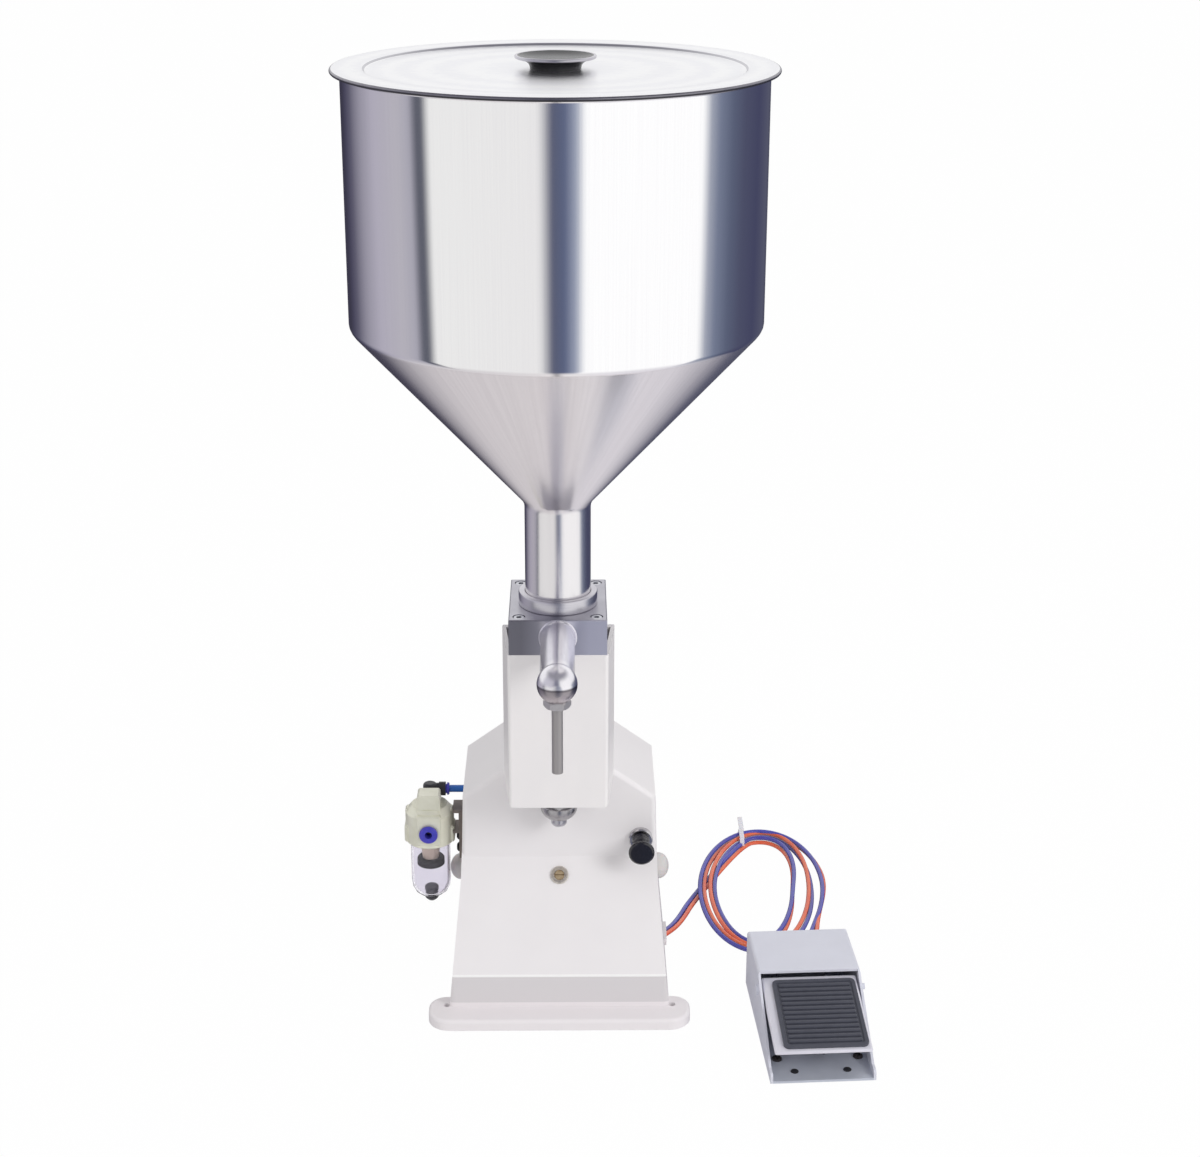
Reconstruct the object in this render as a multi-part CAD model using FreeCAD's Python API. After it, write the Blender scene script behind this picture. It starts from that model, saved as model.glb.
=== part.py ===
import FreeCAD, Part
import math
import os

os.makedirs("parts", exist_ok=True)
V = FreeCAD.Vector
X_AXIS = V(1, 0, 0)
Y_AXIS = V(0, 1, 0)
Z_AXIS = V(0, 0, 1)

# Piston paste filling machine, in millimetres.
# Origin: midway between the two front bolt holes, on the floor. +X to the operator's right, +Y to the back, +Z up.

# Clearances
slide_gap = 0.3          # between pieces that move past each other with room
fit_gap = 0.05           # radial, at running fits

# Base and body casting
bolt_spacing_x = 184.0   # front pair
rear_spacing_x = 150.0
bolt_spacing_y = 166.0   # front pair to rear pair
bolt_hole_r = 2.75
flange_t = 9.3
flange_edge = 24.0       # bolt hole centre to the flange's outer edge, front and back
ear_reach = 14.5         # bolt hole centre to the flange's ends and to the inner edge of the ears
rear_reach = 12.0        # bolt hole centre to the rear flange's ends
ear_outer_r = 18.0
ear_inner_r = 14.0
body_wall = 5.0
foot_half_w = 90.5
waist_half_w = 81.2
waist_z = 97.0
shoulder_half_w = 79.0
shoulder_z = 168.0
ridge_z = 193.0
column_half_w = 44.5
column_back = 56.0       # behind the hopper axis
column_ridge = 22.0      # where its top starts to fall away, behind the hopper axis
column_fall = 13.0
plinth_front = -44.0     # from the hopper axis
plinth_h = 38.0
ramp_top_z = 114.0
face_y = 18.6            # upright front face, from the hopper axis
back_y = 118.0           # rear wall, from the hopper axis
corner_r = 8.0
axis_y = 41.0           # the hopper axis

# Front housing
housing_half_w = 38.9
housing_front = 39.7
housing_h = 130.4         # below the block
housing_wall = 3.0
housing_corner_r = 5.0

# Valve block
block_half_w = 37.85
block_back = 49.8
block_h = 28.7
block_bottom = 318.2
block_screw_inset = 8.0
block_screw_head_r = 4.5
block_screw_l = 22.0

# Hopper, collar and lid
drum_r = 153.8
drum_bottom = 570.8
drum_top = 754.2
sheet_t = 1.2
neck_r = 25.5
cone_bottom = 430.3
neck_depth = 5.5
rim_bead_r = 1.6
collar_r = 30.7
collar_h = 10.7
lid_overhang = 7.2       # beyond the drum
lid_t = 1.0
lid_bead_r = 1.5
lid_step_r = 138.5
lid_recess = 2.1
knob_r = 29.3
knob_base_r = 20.0
knob_waist_r = 17.5
knob_h = 10.6

# Valves in the block and spout
chamber_r = 15.0
inlet_seat_r = 19.0
inlet_seat_t = 4.0
inlet_hole_r = 6.0
inlet_ball_r = 8.0
inlet_travel = 3.5
chamber_floor_t = 2.0
spout_r = 13.0
spout_bore_r = 10.0
spout_z = 14.3           # above the block's underside
ball_end_r = 15.0
ball_end_y = 128.7       # in front of the hopper axis
outlet_seat_r = 11.0
outlet_seat_t = 4.0
outlet_hole_r = 5.0
outlet_ball_r = 7.0
outlet_travel = 4.0
outlet_spring_length = 16.0
spring_wire_r = 0.4
nozzle_r = 4.15
nozzle_shank_r = 3.5     # inside the nut and the ball
nozzle_bore_r = 2.6
nozzle_l = 53.2          # below the nut
nut_flats = 17.8
nut_h = 5.5

# Cylinders, piston and rod
stroke = 30.0
bore_r = 23.0
tube_wall = 4.0
tube_h = 46.0
piston_h = 12.0
rod_r = 6.5
rod_tail = 7.4           # below the stroke nut
flange_plate_h = 8.0
air_bore_r = 25.0
air_half_w = 32.0
air_h = 50.0
air_piston_h = 12.0
air_cap_h = 6.0
tie_rod_r = 3.0
tie_rod_inset = 6.0
stroke_nut_r = 15.0
stroke_nut_h = 18.0

# Hand valve, speed screw, side caps
hand_x = 67.0
hand_z = 130.7
hand_collar_r = 9.8
hand_neck_r = 7.0
hand_cap_r = 10.1
hand_reach = 28.5
hand_travel = 6.0
screw_z = 101.8
bezel_r = 7.5
speed_screw_r = 4.2
cap_r = 11.0
cap_reach = 10.0
cap_y = 60.0
cap_z = 83.0

# Air filter
filter_x = -108.0
filter_y = 45.0
filter_ring_r = 20.0
filter_ring_bottom = 117.0
filter_ring_h = 36.0
filter_block_w = 18.6
filter_block_top = 163.0
bowl_r = 16.4
bowl_h = 55.0
bowl_wall = 2.0
drain_r = 5.6
inlet_z = 131.6
inlet_ring_r = 7.65
air_tube_r = 3.0
release_travel = 1.0
elbow_back = 12.0
elbow_z = 157.5
elbow_arm = 13.0
baffle_drop = 18.0
bracket_t = 2.5
bracket_low = 104.0
bracket_high = 148.0
bracket_arm_low = 127.0

# Foot pedal, in its own frame: x across, y back from the front edge, z up
pedal_x = 205.7
pedal_front = -139.7     # from the hopper axis
pedal_turn = 3.0
pedal_w = 83.0
pedal_l = 150.0
pedal_h = 50.0
pedal_sheet = 2.0
cover_front = 83.0
wall_front_h = 8.0
treadle_w = 76.8
treadle_front = 0.0
treadle_front_z = 26.5
treadle_back_z = 43.0
treadle_t = 2.0
treadle_flange = 7.0     # at the sides
treadle_lip = 3.5        # at the front
treadle_travel = 8.0
pad_w = 67.0
pad_shift = 2.5
pad_t = 2.4
pin_y = 80.0
pin_z = 35.5
pin_r = 2.5
ear_setback = 18.0       # of the base's upturned sides behind the pin
pedal_valve_half_w = 20.0
pedal_valve_front = 52.0
pedal_valve_h = 24.0
plunger_y = 66.0
plunger_r = 4.0
return_spring_y = 35.0
return_spring_r = 6.0
pedal_hole_x = 20.8
pedal_hole_y = 12.5
pedal_hole_r = 2.5
pedal_screw_reach = 32.3
pedal_screw_y = 30.5

# Air tubes to the pedal
tube_r = 2.0
grommet_z = 12.0
grommet_r = 5.5
grommet_y = 69.0         # from the hopper axis
coil_x = 182.0
coil_y = 165.0   # from the hopper axis
coil_half_l = 123.0
coil_half_w = 58.0
coil_tilt = -6.0
coil_h = 9.0
floor_gap = 0.2
tie_x = 175.5
tie_y = 270.5            # from the hopper axis
tie_turn = 84.0
tie_half_l = 18.5
tie_tail = 15.0


# General shapes
def housing_bottom():
    return block_bottom - housing_h


def save(name, shape):
    shape.exportStep("parts/" + name + ".step")


def point(x, y, z):
    """A point given from the hopper axis."""
    return V(x, y + axis_y, z)


def block(x0, x1, y0, y1, z0, z1):
    return Part.makeBox(x1 - x0, y1 - y0, z1 - z0, V(x0, y0, z0))


def rod(centre, direction, radius, length):
    return Part.makeCylinder(radius, length, centre, direction)


def turned(outline, centre, direction):
    """Revolve an outline of (radius, height) pairs about a line through centre."""
    wire = Part.makePolygon([V(r, 0, h) for r, h in outline + outline[:1]])
    solid = Part.Face(wire).revolve(V(0, 0, 0), Z_AXIS, 360)
    solid.Placement = FreeCAD.Placement(centre, FreeCAD.Rotation(Z_AXIS, direction))
    return solid


def prism_x(outline, half_width):
    """Extrude an outline of (y, z) pairs both ways along X."""
    wire = Part.makePolygon([V(-half_width, y, z) for y, z in outline + outline[:1]])
    return Part.Face(wire).extrude(V(2 * half_width, 0, 0))


def prism_y(outline, y0, y1):
    """Extrude an outline of (x, z) pairs from y0 to y1."""
    wire = Part.makePolygon([V(x, y0, z) for x, z in outline + outline[:1]])
    return Part.Face(wire).extrude(V(0, y1 - y0, 0))


def prism_z(outline, z0, z1):
    """Extrude an outline of (x, y) pairs from z0 to z1."""
    wire = Part.makePolygon([V(x, y, z0) for x, y in outline + outline[:1]])
    return Part.Face(wire).extrude(V(0, 0, z1 - z0))


def upright_edges(shape, test):
    """Straight edges along Z whose middle passes the test."""
    found = []
    for edge in shape.Edges:
        a = edge.Vertexes[0].Point
        b = edge.Vertexes[-1].Point
        if abs(a.x - b.x) < 1e-6 and abs(a.y - b.y) < 1e-6 and test((a + b) * 0.5):
            found.append(edge)
    return found


def edges_along_y(shape, test):
    """Straight edges along Y whose middle passes the test."""
    found = []
    for edge in shape.Edges:
        a = edge.Vertexes[0].Point
        b = edge.Vertexes[-1].Point
        if abs(a.x - b.x) < 1e-6 and abs(a.z - b.z) < 1e-6 and test((a + b) * 0.5):
            found.append(edge)
    return found


def plate_with_corners(x0, x1, y0, y1, z0, z1, radius):
    plate = block(x0, x1, y0, y1, z0, z1)
    return plate.makeFillet(radius, upright_edges(plate, lambda p: True))


def coil_spring(centre, direction, radius, length, turns, wire_r):
    """A compression spring: a round wire swept along a helix, with room for the wire at both ends."""
    pitch = (length - 2 * wire_r) / turns
    helix = Part.Wire(Part.makeLongHelix(pitch, length - 2 * wire_r, radius).Edges)
    first = helix.Edges[0]
    start = first.valueAt(first.FirstParameter)
    section = Part.Wire([Part.makeCircle(wire_r, start, first.tangentAt(first.FirstParameter))])
    spring = helix.makePipeShell([section], True, True)
    spring.translate(V(0, 0, wire_r))
    spring.Placement = FreeCAD.Placement(centre, FreeCAD.Rotation(Z_AXIS, direction)).multiply(spring.Placement)
    return spring


def hexagon(centre, direction, flats, height):
    """A hexagon nut's body with its corners turned off at both ends."""
    corner = flats / math.sqrt(3)
    outline = [(corner * math.cos(math.radians(60 * i)), corner * math.sin(math.radians(60 * i))) for i in range(6)]
    solid = prism_z(outline, 0, height)
    chamfer = corner * 0.12
    dome = turned([(0, 0), (corner - chamfer, 0), (corner, chamfer), (corner, height - chamfer),
                   (corner - chamfer, height), (0, height)], V(0, 0, 0), Z_AXIS)
    solid = solid.common(dome)
    solid.Placement = FreeCAD.Placement(centre, FreeCAD.Rotation(Z_AXIS, direction))
    return solid


# Body casting: a hollow shell, drafted at the sides, with a ramp, a plinth, shoulders and a column
def body_form(inset, floor):
    """The body's outer form, or its hollow when inset is the wall thickness."""
    side = [(plinth_front + inset, floor), (plinth_front + inset, plinth_h - inset * 0.5),
            (face_y + inset, ramp_top_z - inset * 0.3), (face_y + inset, block_bottom - inset * 2),
            (column_ridge + inset, block_bottom - inset * 2),
            (column_back - inset, block_bottom - column_fall - inset * 2), (column_back + 8 - inset, ridge_z + 10 - inset),
            (column_back + 14, ridge_z - inset), (back_y - inset, ridge_z - inset), (back_y - inset, floor)]
    depth = prism_x([(y + axis_y, z) for y, z in side], foot_half_w + 5)
    right = [(foot_half_w - inset, floor), (waist_half_w - inset, waist_z), (shoulder_half_w - inset, shoulder_z - inset),
             (column_half_w - inset, ridge_z - inset), (column_half_w - inset, block_bottom + 1)]
    left = [(-x, z) for x, z in reversed(right)]
    width = prism_y(right + left, plinth_front + axis_y - 1, back_y + axis_y + 1)
    form = depth.common(width)
    plan = plate_with_corners(-foot_half_w - 2, foot_half_w + 2, plinth_front + inset + axis_y,
                              back_y - inset + axis_y, floor - 1, block_bottom + 2, corner_r - inset * 0.5)
    return form.common(plan)


def flange(half, inner_y, outer_y, outer_r, inner_r):
    """One floor flange with rounded ends, its top edge rounded over."""
    plate = block(-half, half, min(inner_y, outer_y), max(inner_y, outer_y), 0, flange_t)
    plate = plate.makeFillet(outer_r, upright_edges(plate, lambda p: abs(p.y - outer_y) < 1e-3))
    plate = plate.makeFillet(inner_r, upright_edges(plate, lambda p: abs(p.y - inner_y) < 1e-3))
    top = [e for e in plate.Edges if all(abs(v.Point.z - flange_t) < 1e-6 for v in e.Vertexes)]
    return plate.makeFillet(3.0, top)


def front_edges(shape):
    """The upright and ramp edges at the sides of the front face, and the shoulders' front edges."""
    found = []
    for edge in shape.Edges:
        a = edge.Vertexes[0].Point
        b = edge.Vertexes[-1].Point
        middle = (a + b) * 0.5
        on_face = abs(a.y - face_y - axis_y) < 1e-3 and abs(b.y - face_y - axis_y) < 1e-3
        if on_face and abs(middle.x) > column_half_w + 8 and abs(a.z - b.z) > 5 and middle.z < ridge_z:
            found.append(edge)
    return found


def make_body_casting():
    outer = body_form(0, 0)
    outer = outer.makeFillet(4.0, front_edges(outer))
    outer = outer.fuse(flange(bolt_spacing_x / 2 + ear_reach, ear_reach, -flange_edge, ear_outer_r, ear_inner_r))
    outer = outer.fuse(flange(rear_spacing_x / 2 + rear_reach, bolt_spacing_y - ear_reach,
                              bolt_spacing_y + flange_edge, ear_outer_r, 2.0))
    casting = outer.cut(body_form(body_wall, -1))
    window = air_half_w + 1.0
    casting = casting.cut(block(-window, window, axis_y + face_y - 1, axis_y + window,
                                housing_bottom() + 3, block_bottom + 1))
    for spacing, y in ((bolt_spacing_x, 0), (rear_spacing_x, bolt_spacing_y)):
        for x in (-spacing / 2, spacing / 2):
            casting = casting.cut(rod(V(x, y, -1), Z_AXIS, bolt_hole_r, flange_t + 2))
    casting = casting.cut(block(-cover_window_x, cover_window_x, axis_y + back_y - body_wall - 1,
                                axis_y + back_y + 1, cover_window_low, cover_window_high))
    for centre in cover_screw_points():
        casting = casting.cut(rod(centre, V(0, -1, 0), cover_screw_r, body_wall + 2))
    casting = casting.cut(rod(hand_point(0), Y_AXIS, hand_neck_r + 1.6, body_wall + 2))
    casting = casting.cut(rod(ramp_point(1), ramp_inward(), bezel_r - 1.0, 3 * body_wall))
    for side in (-1, 1):
        start = side_wall_x(cap_z) + cap_sink
        casting = casting.cut(rod(point(side * start, cap_y, cap_z), V(-side, 0, 0), cap_r - 2.0, body_wall + 6))
    casting = casting.cut(grommet_shape(body_wall + 8, 0))
    casting = casting.cut(rod(filter_tube_start(), X_AXIS, air_tube_r + fit_gap, filter_tube_length() + 6))
    for centre in bracket_screw_points():
        casting = casting.cut(rod(centre, X_AXIS, cover_screw_r, body_wall + 3))
    return casting


def side_wall_x(z):
    """How far the side wall stands from the middle at a height."""
    if z < waist_z:
        return foot_half_w + (waist_half_w - foot_half_w) * z / waist_z
    return waist_half_w + (shoulder_half_w - waist_half_w) * (z - waist_z) / (shoulder_z - waist_z)


# Front housing: a drafted cover, open at the top and the back, with the stroke nut's hole below
def housing_form(inset, z0, z1):
    front = -housing_front + inset
    plan = [(-housing_half_w + inset, front), (housing_half_w - inset, front),
            (column_half_w - inset, face_y), (-column_half_w + inset, face_y)]
    return prism_z([(x, y + axis_y) for x, y in plan], z0, z1)


def make_front_housing():
    outer = housing_form(0, housing_bottom(), block_bottom)
    front = axis_y - housing_front
    rounded = [e for e in outer.Edges
               if all(abs(v.Point.z - housing_bottom()) < 1e-6 for v in e.Vertexes)
               and abs(e.Vertexes[0].Point.y - e.Vertexes[1].Point.y) > 1]
    rounded += upright_edges(outer, lambda p: abs(p.y - front) < 1e-3)
    outer = outer.makeFillet(housing_corner_r * 0.6, rounded)
    cover = outer.cut(housing_form(housing_wall, housing_bottom() + housing_wall, block_bottom + 1))
    return cover.cut(rod(point(0, 0, housing_bottom() - 1), Z_AXIS, stroke_nut_r + 5, housing_wall + 2))


# Rear cover and the pan head screws
cover_window_x = 55.0
cover_window_low = 25.0
cover_window_high = 150.0
cover_lap = 7.0
cover_t = 2.0
cover_screw_r = 2.0
cover_screw_head_r = 3.9
cover_screw_head_h = 2.4


def cover_screw_points():
    y = axis_y + back_y + cover_t
    x = cover_window_x + cover_lap / 2
    low = cover_window_low - cover_lap / 2
    high = cover_window_high + cover_lap / 2
    return [V(sx * x, y, z) for sx in (-1, 1) for z in (low, high)]


def make_rear_cover():
    y = axis_y + back_y
    plate = block(-cover_window_x - cover_lap, cover_window_x + cover_lap, y, y + cover_t,
                  cover_window_low - cover_lap, cover_window_high + cover_lap)
    corners = edges_along_y(plate, lambda p: True)
    plate = plate.makeFillet(6.0, corners)
    for centre in cover_screw_points():
        plate = plate.cut(rod(centre, V(0, -1, 0), cover_screw_r, cover_t))
    for i in range(7):
        z = cover_window_low + 22 + 9 * i
        slot = block(-24, 24, y - 1, y + cover_t + 1, z, z + 3)
        plate = plate.cut(slot.makeFillet(1.4, edges_along_y(slot, lambda p: True)))
    return plate


def pan_screw(centre, direction, length):
    """A screw whose head's underside lies at centre and whose shank runs along the direction."""
    outline = [(0, -length), (cover_screw_r, -length), (cover_screw_r, 0), (cover_screw_head_r, 0),
               (cover_screw_head_r, cover_screw_head_h * 0.5), (cover_screw_head_r * 0.6, cover_screw_head_h),
               (0, cover_screw_head_h)]
    head = turned(outline, centre, direction * -1)
    slot = block(-0.45, 0.45, -cover_screw_head_r, cover_screw_head_r, cover_screw_head_h - 0.9, cover_screw_head_h + 1)
    slot.Placement = FreeCAD.Placement(centre, FreeCAD.Rotation(Z_AXIS, direction * -1))
    return head.cut(slot)


# Valve block and its screws
def block_screw_points():
    x = block_half_w - block_screw_inset
    front = -housing_front + block_screw_inset
    back = block_back - block_screw_inset
    return [point(sx * x, y, block_bottom + block_h) for sx in (-1, 1) for y in (front, back)]


def inlet_ball_z():
    seat = block_bottom + block_h - neck_depth - inlet_seat_t
    return seat - math.sqrt(inlet_ball_r ** 2 - inlet_hole_r ** 2) - fit_gap


def outlet_ball_y():
    seat = -housing_front
    return seat - math.sqrt(outlet_ball_r ** 2 - outlet_hole_r ** 2) - fit_gap


def make_valve_block():
    top = block_bottom + block_h
    solid = block(-block_half_w, block_half_w, axis_y - housing_front, axis_y + block_back, block_bottom, top)
    solid = solid.makeChamfer(0.8, [e for e in solid.Edges if all(abs(v.Point.z - top) < 1e-6 for v in e.Vertexes)])
    seat_top = top - neck_depth
    solid = solid.cut(rod(point(0, 0, seat_top), Z_AXIS, neck_r, neck_depth + 1))
    solid = solid.cut(rod(point(0, 0, seat_top - inlet_seat_t), Z_AXIS, inlet_seat_r, inlet_seat_t + 1))
    chamber_floor = block_bottom + chamber_floor_t
    solid = solid.cut(rod(point(0, 0, chamber_floor), Z_AXIS, chamber_r, seat_top - chamber_floor))
    solid = solid.cut(rod(point(0, 0, block_bottom - 1), Z_AXIS, 4.0, chamber_floor_t + 2))
    for i in range(6):
        angle = math.radians(60 * i)
        port = point(10.6 * math.cos(angle), 10.6 * math.sin(angle), block_bottom - 1)
        solid = solid.cut(rod(port, Z_AXIS, 3.0, chamber_floor_t + 2))
    way_out = point(0, 0, block_bottom + spout_z)
    solid = solid.cut(rod(way_out, V(0, -1, 0), outlet_seat_r - 3.5, housing_front + 1))
    front = point(0, -housing_front + outlet_seat_t, block_bottom + spout_z)
    solid = solid.cut(rod(front, V(0, -1, 0), outlet_seat_r, outlet_seat_t + 1))
    for centre in block_screw_points():
        solid = solid.cut(rod(centre, V(0, 0, -1), block_screw_head_r + 0.4, 5.4))
        solid = solid.cut(rod(centre, V(0, 0, -1), 2.6, block_h + 1))
    for centre in tie_rod_points(block_bottom):
        solid = solid.cut(rod(centre, Z_AXIS, tie_rod_r, 10))
    return solid


def socket_screw(centre, length):
    """A socket head screw let into the block's top."""
    outline = [(0, -5.4 - length), (2.5, -5.4 - length), (2.5, -5.4), (block_screw_head_r, -5.4),
               (block_screw_head_r, -0.9), (block_screw_head_r - 0.5, -0.4), (0, -0.4)]
    screw = turned(outline, centre, Z_AXIS)
    socket = hexagon(centre - V(0, 0, 3.2), Z_AXIS, 4.0, 4)
    return screw.cut(socket)


def make_seat_ring(centre, direction, outer, hole, thickness):
    outline = [(hole, 0), (outer, 0), (outer, thickness), (hole + 1.5, thickness), (hole, thickness - 1.2)]
    return turned(outline, centre, direction)


# Hopper, collar, lid and knob
def make_hopper():
    outer = [(neck_r, block_bottom + block_h - neck_depth), (neck_r, cone_bottom), (drum_r, drum_bottom), (drum_r, drum_top)]
    inner = [(drum_r - sheet_t, drum_top), (drum_r - sheet_t, drum_bottom + sheet_t * 0.5),
             (neck_r - 2 * sheet_t, cone_bottom + sheet_t), (neck_r - 2 * sheet_t, block_bottom + block_h - neck_depth)]
    shell = turned(outer + inner, point(0, 0, 0), Z_AXIS)
    bead = Part.makeTorus(drum_r + rim_bead_r - 0.5, rim_bead_r, point(0, 0, drum_top), Z_AXIS)
    return shell.fuse(bead)


def make_hopper_collar():
    z = block_bottom + block_h
    outline = [(neck_r, 0), (collar_r, 0), (collar_r, collar_h - 1), (collar_r - 1, collar_h), (neck_r + 0.6, collar_h),
               (neck_r, collar_h - 0.6)]
    return turned(outline, point(0, 0, z), Z_AXIS)


def lid_underside():
    return drum_top + rim_bead_r + slide_gap


def make_lid():
    z = lid_underside()
    rim = drum_r + lid_overhang - lid_bead_r
    low = -lid_recess
    foot_r = lid_step_r - lid_recess
    outline = [(0, low), (foot_r + 0.4, low), (lid_step_r + 0.4, 0), (rim, 0), (rim, lid_t),
               (lid_step_r, lid_t), (foot_r, low + lid_t), (0, low + lid_t)]
    plate = turned(outline, point(0, 0, z), Z_AXIS)
    bead = Part.makeTorus(rim, lid_bead_r, point(0, 0, z + lid_t - lid_bead_r), Z_AXIS)
    lid = plate.fuse(bead)
    return lid.cut(rod(point(0, 0, z - 10), Z_AXIS, 3.0, 20))


def make_lid_knob():
    z = lid_underside() - lid_recess + lid_t
    outline = [(0, -lid_t - 4), (3.0 - fit_gap, -lid_t - 4), (3.0 - fit_gap, 0), (knob_base_r, 0), (knob_base_r, 0.8),
               (knob_waist_r + 0.9, 1.8), (knob_waist_r, 3.2), (knob_waist_r + 1.0, 5.2), (knob_waist_r + 4.5, 7.2),
               (knob_r, knob_h - 1.6), (knob_r, knob_h), (knob_r - 3, knob_h), (knob_r - 9, knob_h - 1.2),
               (0, knob_h - 1.8)]
    return turned(outline, point(0, 0, z), Z_AXIS)


# Outlet spout, nozzle and its nut
def make_outlet_spout():
    z = block_bottom + spout_z
    start = point(0, -housing_front, z)
    forward = V(0, -1, 0)
    reach = ball_end_y - housing_front
    flare = [(0, 0), (spout_r + 4.5, 0), (spout_r + 2.2, 1.0), (spout_r + 0.8, 2.8), (spout_r, 5.5), (spout_r, reach), (0, reach)]
    body = turned(flare, start, forward)
    ball = Part.makeSphere(ball_end_r, point(0, -ball_end_y, z))
    nose = block(-9, 9, axis_y - ball_end_y - ball_end_r - 1, axis_y - ball_end_y - ball_end_r + 0.5, z - 9, z + 9)
    flat = block(-20, 20, axis_y - ball_end_y - 20, axis_y - ball_end_y + 20, z - 20, ball_flat_z())
    body = body.fuse(ball).cut(nose).cut(flat)
    spring_room = outlet_ball_y() - spring_contact(outlet_ball_r) - outlet_spring_length
    body = body.cut(rod(start, forward, spout_bore_r, -housing_front - spring_room))
    body = body.cut(rod(start, forward, nozzle_shank_r + fit_gap, reach))
    body = body.cut(rod(point(0, -ball_end_y, z), V(0, 0, -1), nozzle_shank_r + fit_gap, ball_end_r + 5))
    return body


def ball_flat_z():
    return block_bottom + spout_z - math.sqrt(ball_end_r ** 2 - (nut_flats * 0.5) ** 2)


def spring_contact(ball_r):
    """How far along its axis from the ball's centre a spring's end coil meets the ball."""
    return ball_r * 0.72


def make_nozzle_nut():
    nut = hexagon(point(0, -ball_end_y, ball_flat_z() - nut_h), Z_AXIS, nut_flats, nut_h)
    return nut.cut(rod(point(0, -ball_end_y, 0), Z_AXIS, nozzle_shank_r + fit_gap, 1000))


def make_nozzle_tube():
    top = block_bottom + spout_z - nozzle_r - 1
    low = ball_flat_z() - nut_h - nozzle_l
    shoulder = ball_flat_z() - nut_h - 0.1
    outline = [(nozzle_bore_r, low), (nozzle_r, low), (nozzle_r, shoulder), (nozzle_shank_r, shoulder),
               (nozzle_shank_r, top), (nozzle_bore_r, top)]
    return turned(outline, point(0, -ball_end_y, 0), Z_AXIS)


# Cylinders under the block
def tube_bottom():
    return block_bottom - tube_h


def plate_bottom():
    return tube_bottom() - flange_plate_h


def air_bottom():
    return plate_bottom() - air_h


def cap_bottom():
    return air_bottom() - air_cap_h


def tie_rod_points(z):
    reach = air_half_w - tie_rod_inset
    return [point(sx * reach, sy * reach, z) for sx in (-1, 1) for sy in (-1, 1)]


def square_plate(z0, z1, corner):
    y = axis_y
    plate = plate_with_corners(-air_half_w, air_half_w, y - air_half_w, y + air_half_w, z0, z1, corner)
    for centre in tie_rod_points(z0 - 1):
        plate = plate.cut(rod(centre, Z_AXIS, tie_rod_r + fit_gap, z1 - z0 + 2))
    return plate


def make_material_cylinder():
    tube = rod(point(0, 0, tube_bottom()), Z_AXIS, bore_r + tube_wall, tube_h)
    return tube.cut(rod(point(0, 0, tube_bottom() - 1), Z_AXIS, bore_r, tube_h + 2))


def make_cylinder_flange():
    plate = square_plate(plate_bottom(), tube_bottom(), 3.0)
    return plate.cut(rod(point(0, 0, 0), Z_AXIS, rod_r + fit_gap, 1000))


def make_air_barrel():
    barrel = square_plate(air_bottom(), plate_bottom(), 3.0)
    barrel = barrel.cut(rod(point(0, 0, air_bottom() - 1), Z_AXIS, air_bore_r, air_h + 2))
    for z in port_heights():
        port = point(0, air_half_w - 8, z)
        barrel = barrel.cut(rod(port, Y_AXIS, fitting_thread_r, 10))
    for x in (-air_half_w - 1, air_half_w - 1.2):
        for y in (-7.0, 5.0):
            barrel = barrel.cut(block(x, x + 2.2, axis_y + y, axis_y + y + 2.5, air_bottom() - 1, plate_bottom() + 1))
    return barrel


def make_air_end():
    plate = square_plate(cap_bottom(), air_bottom(), 3.0)
    return plate.cut(rod(point(0, 0, 0), Z_AXIS, rod_r + fit_gap, 1000))


def port_heights():
    return (air_bottom() + 5.5, plate_bottom() - 5.5)


def make_tie_rods():
    """Four long socket screws from the end cap up into the block."""
    screws = []
    length = block_bottom + 9 - cap_bottom()
    for centre in tie_rod_points(cap_bottom()):
        outline = [(0, -5.0), (tie_rod_r * 1.7, -5.0), (tie_rod_r * 1.7, 0), (tie_rod_r, 0), (tie_rod_r, length), (0, length)]
        screw = turned(outline, centre, Z_AXIS)
        screws.append(screw.cut(hexagon(centre - V(0, 0, 6), Z_AXIS, 5.0, 4)))
    return Part.makeCompound(screws)


def piston_bottom():
    return tube_bottom() + 1.5


def air_piston_bottom():
    return air_bottom() + 1.0


def make_piston():
    z = piston_bottom()
    r = bore_r - 0.1
    groove = 1.6
    outline = [(0, 0), (r, 0), (r, 2.2), (r - groove, 2.2), (r - groove, 4.4), (r, 4.4), (r, 7.4), (r - groove, 7.4),
               (r - groove, 9.6), (r, 9.6), (r, piston_h - 0.6), (r - 0.6, piston_h), (0, piston_h)]
    return turned(outline, point(0, 0, z), Z_AXIS)


def make_piston_seals():
    z = piston_bottom()
    r = bore_r - fit_gap
    seals = []
    for low in (2.25, 7.45):
        outline = [(bore_r - 1.65, low), (r, low), (r, low + 2.1), (bore_r - 1.65, low + 2.1)]
        seals.append(turned(outline, point(0, 0, z), Z_AXIS))
    return Part.makeCompound(seals)


def rod_end():
    return stroke_nut_top() - stroke_nut_h - rod_tail


def make_piston_rod():
    lower = rod(point(0, 0, rod_end()), Z_AXIS, rod_r, piston_bottom() - rod_end())
    lower = lower.makeChamfer(1.2, [e for e in lower.Edges if all(abs(v.Point.z - rod_end()) < 1e-6 for v in e.Vertexes)])
    slot = block(-1.0, 1.0, axis_y - 20, axis_y + 20, rod_end() - 1, rod_end() + 2.0)
    return lower.cut(slot)


def make_air_piston():
    z = air_piston_bottom()
    r = air_bore_r - fit_gap
    outline = [(rod_r, 0), (r - 0.8, 0), (r, 0.8), (r, 4.6), (r - 1.5, 4.6), (r - 1.5, 7.4), (r, 7.4),
               (r, air_piston_h - 0.8), (r - 0.8, air_piston_h), (rod_r, air_piston_h)]
    return turned(outline, point(0, 0, z), Z_AXIS)


def stroke_nut_top():
    return cap_bottom() - stroke - slide_gap


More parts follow.
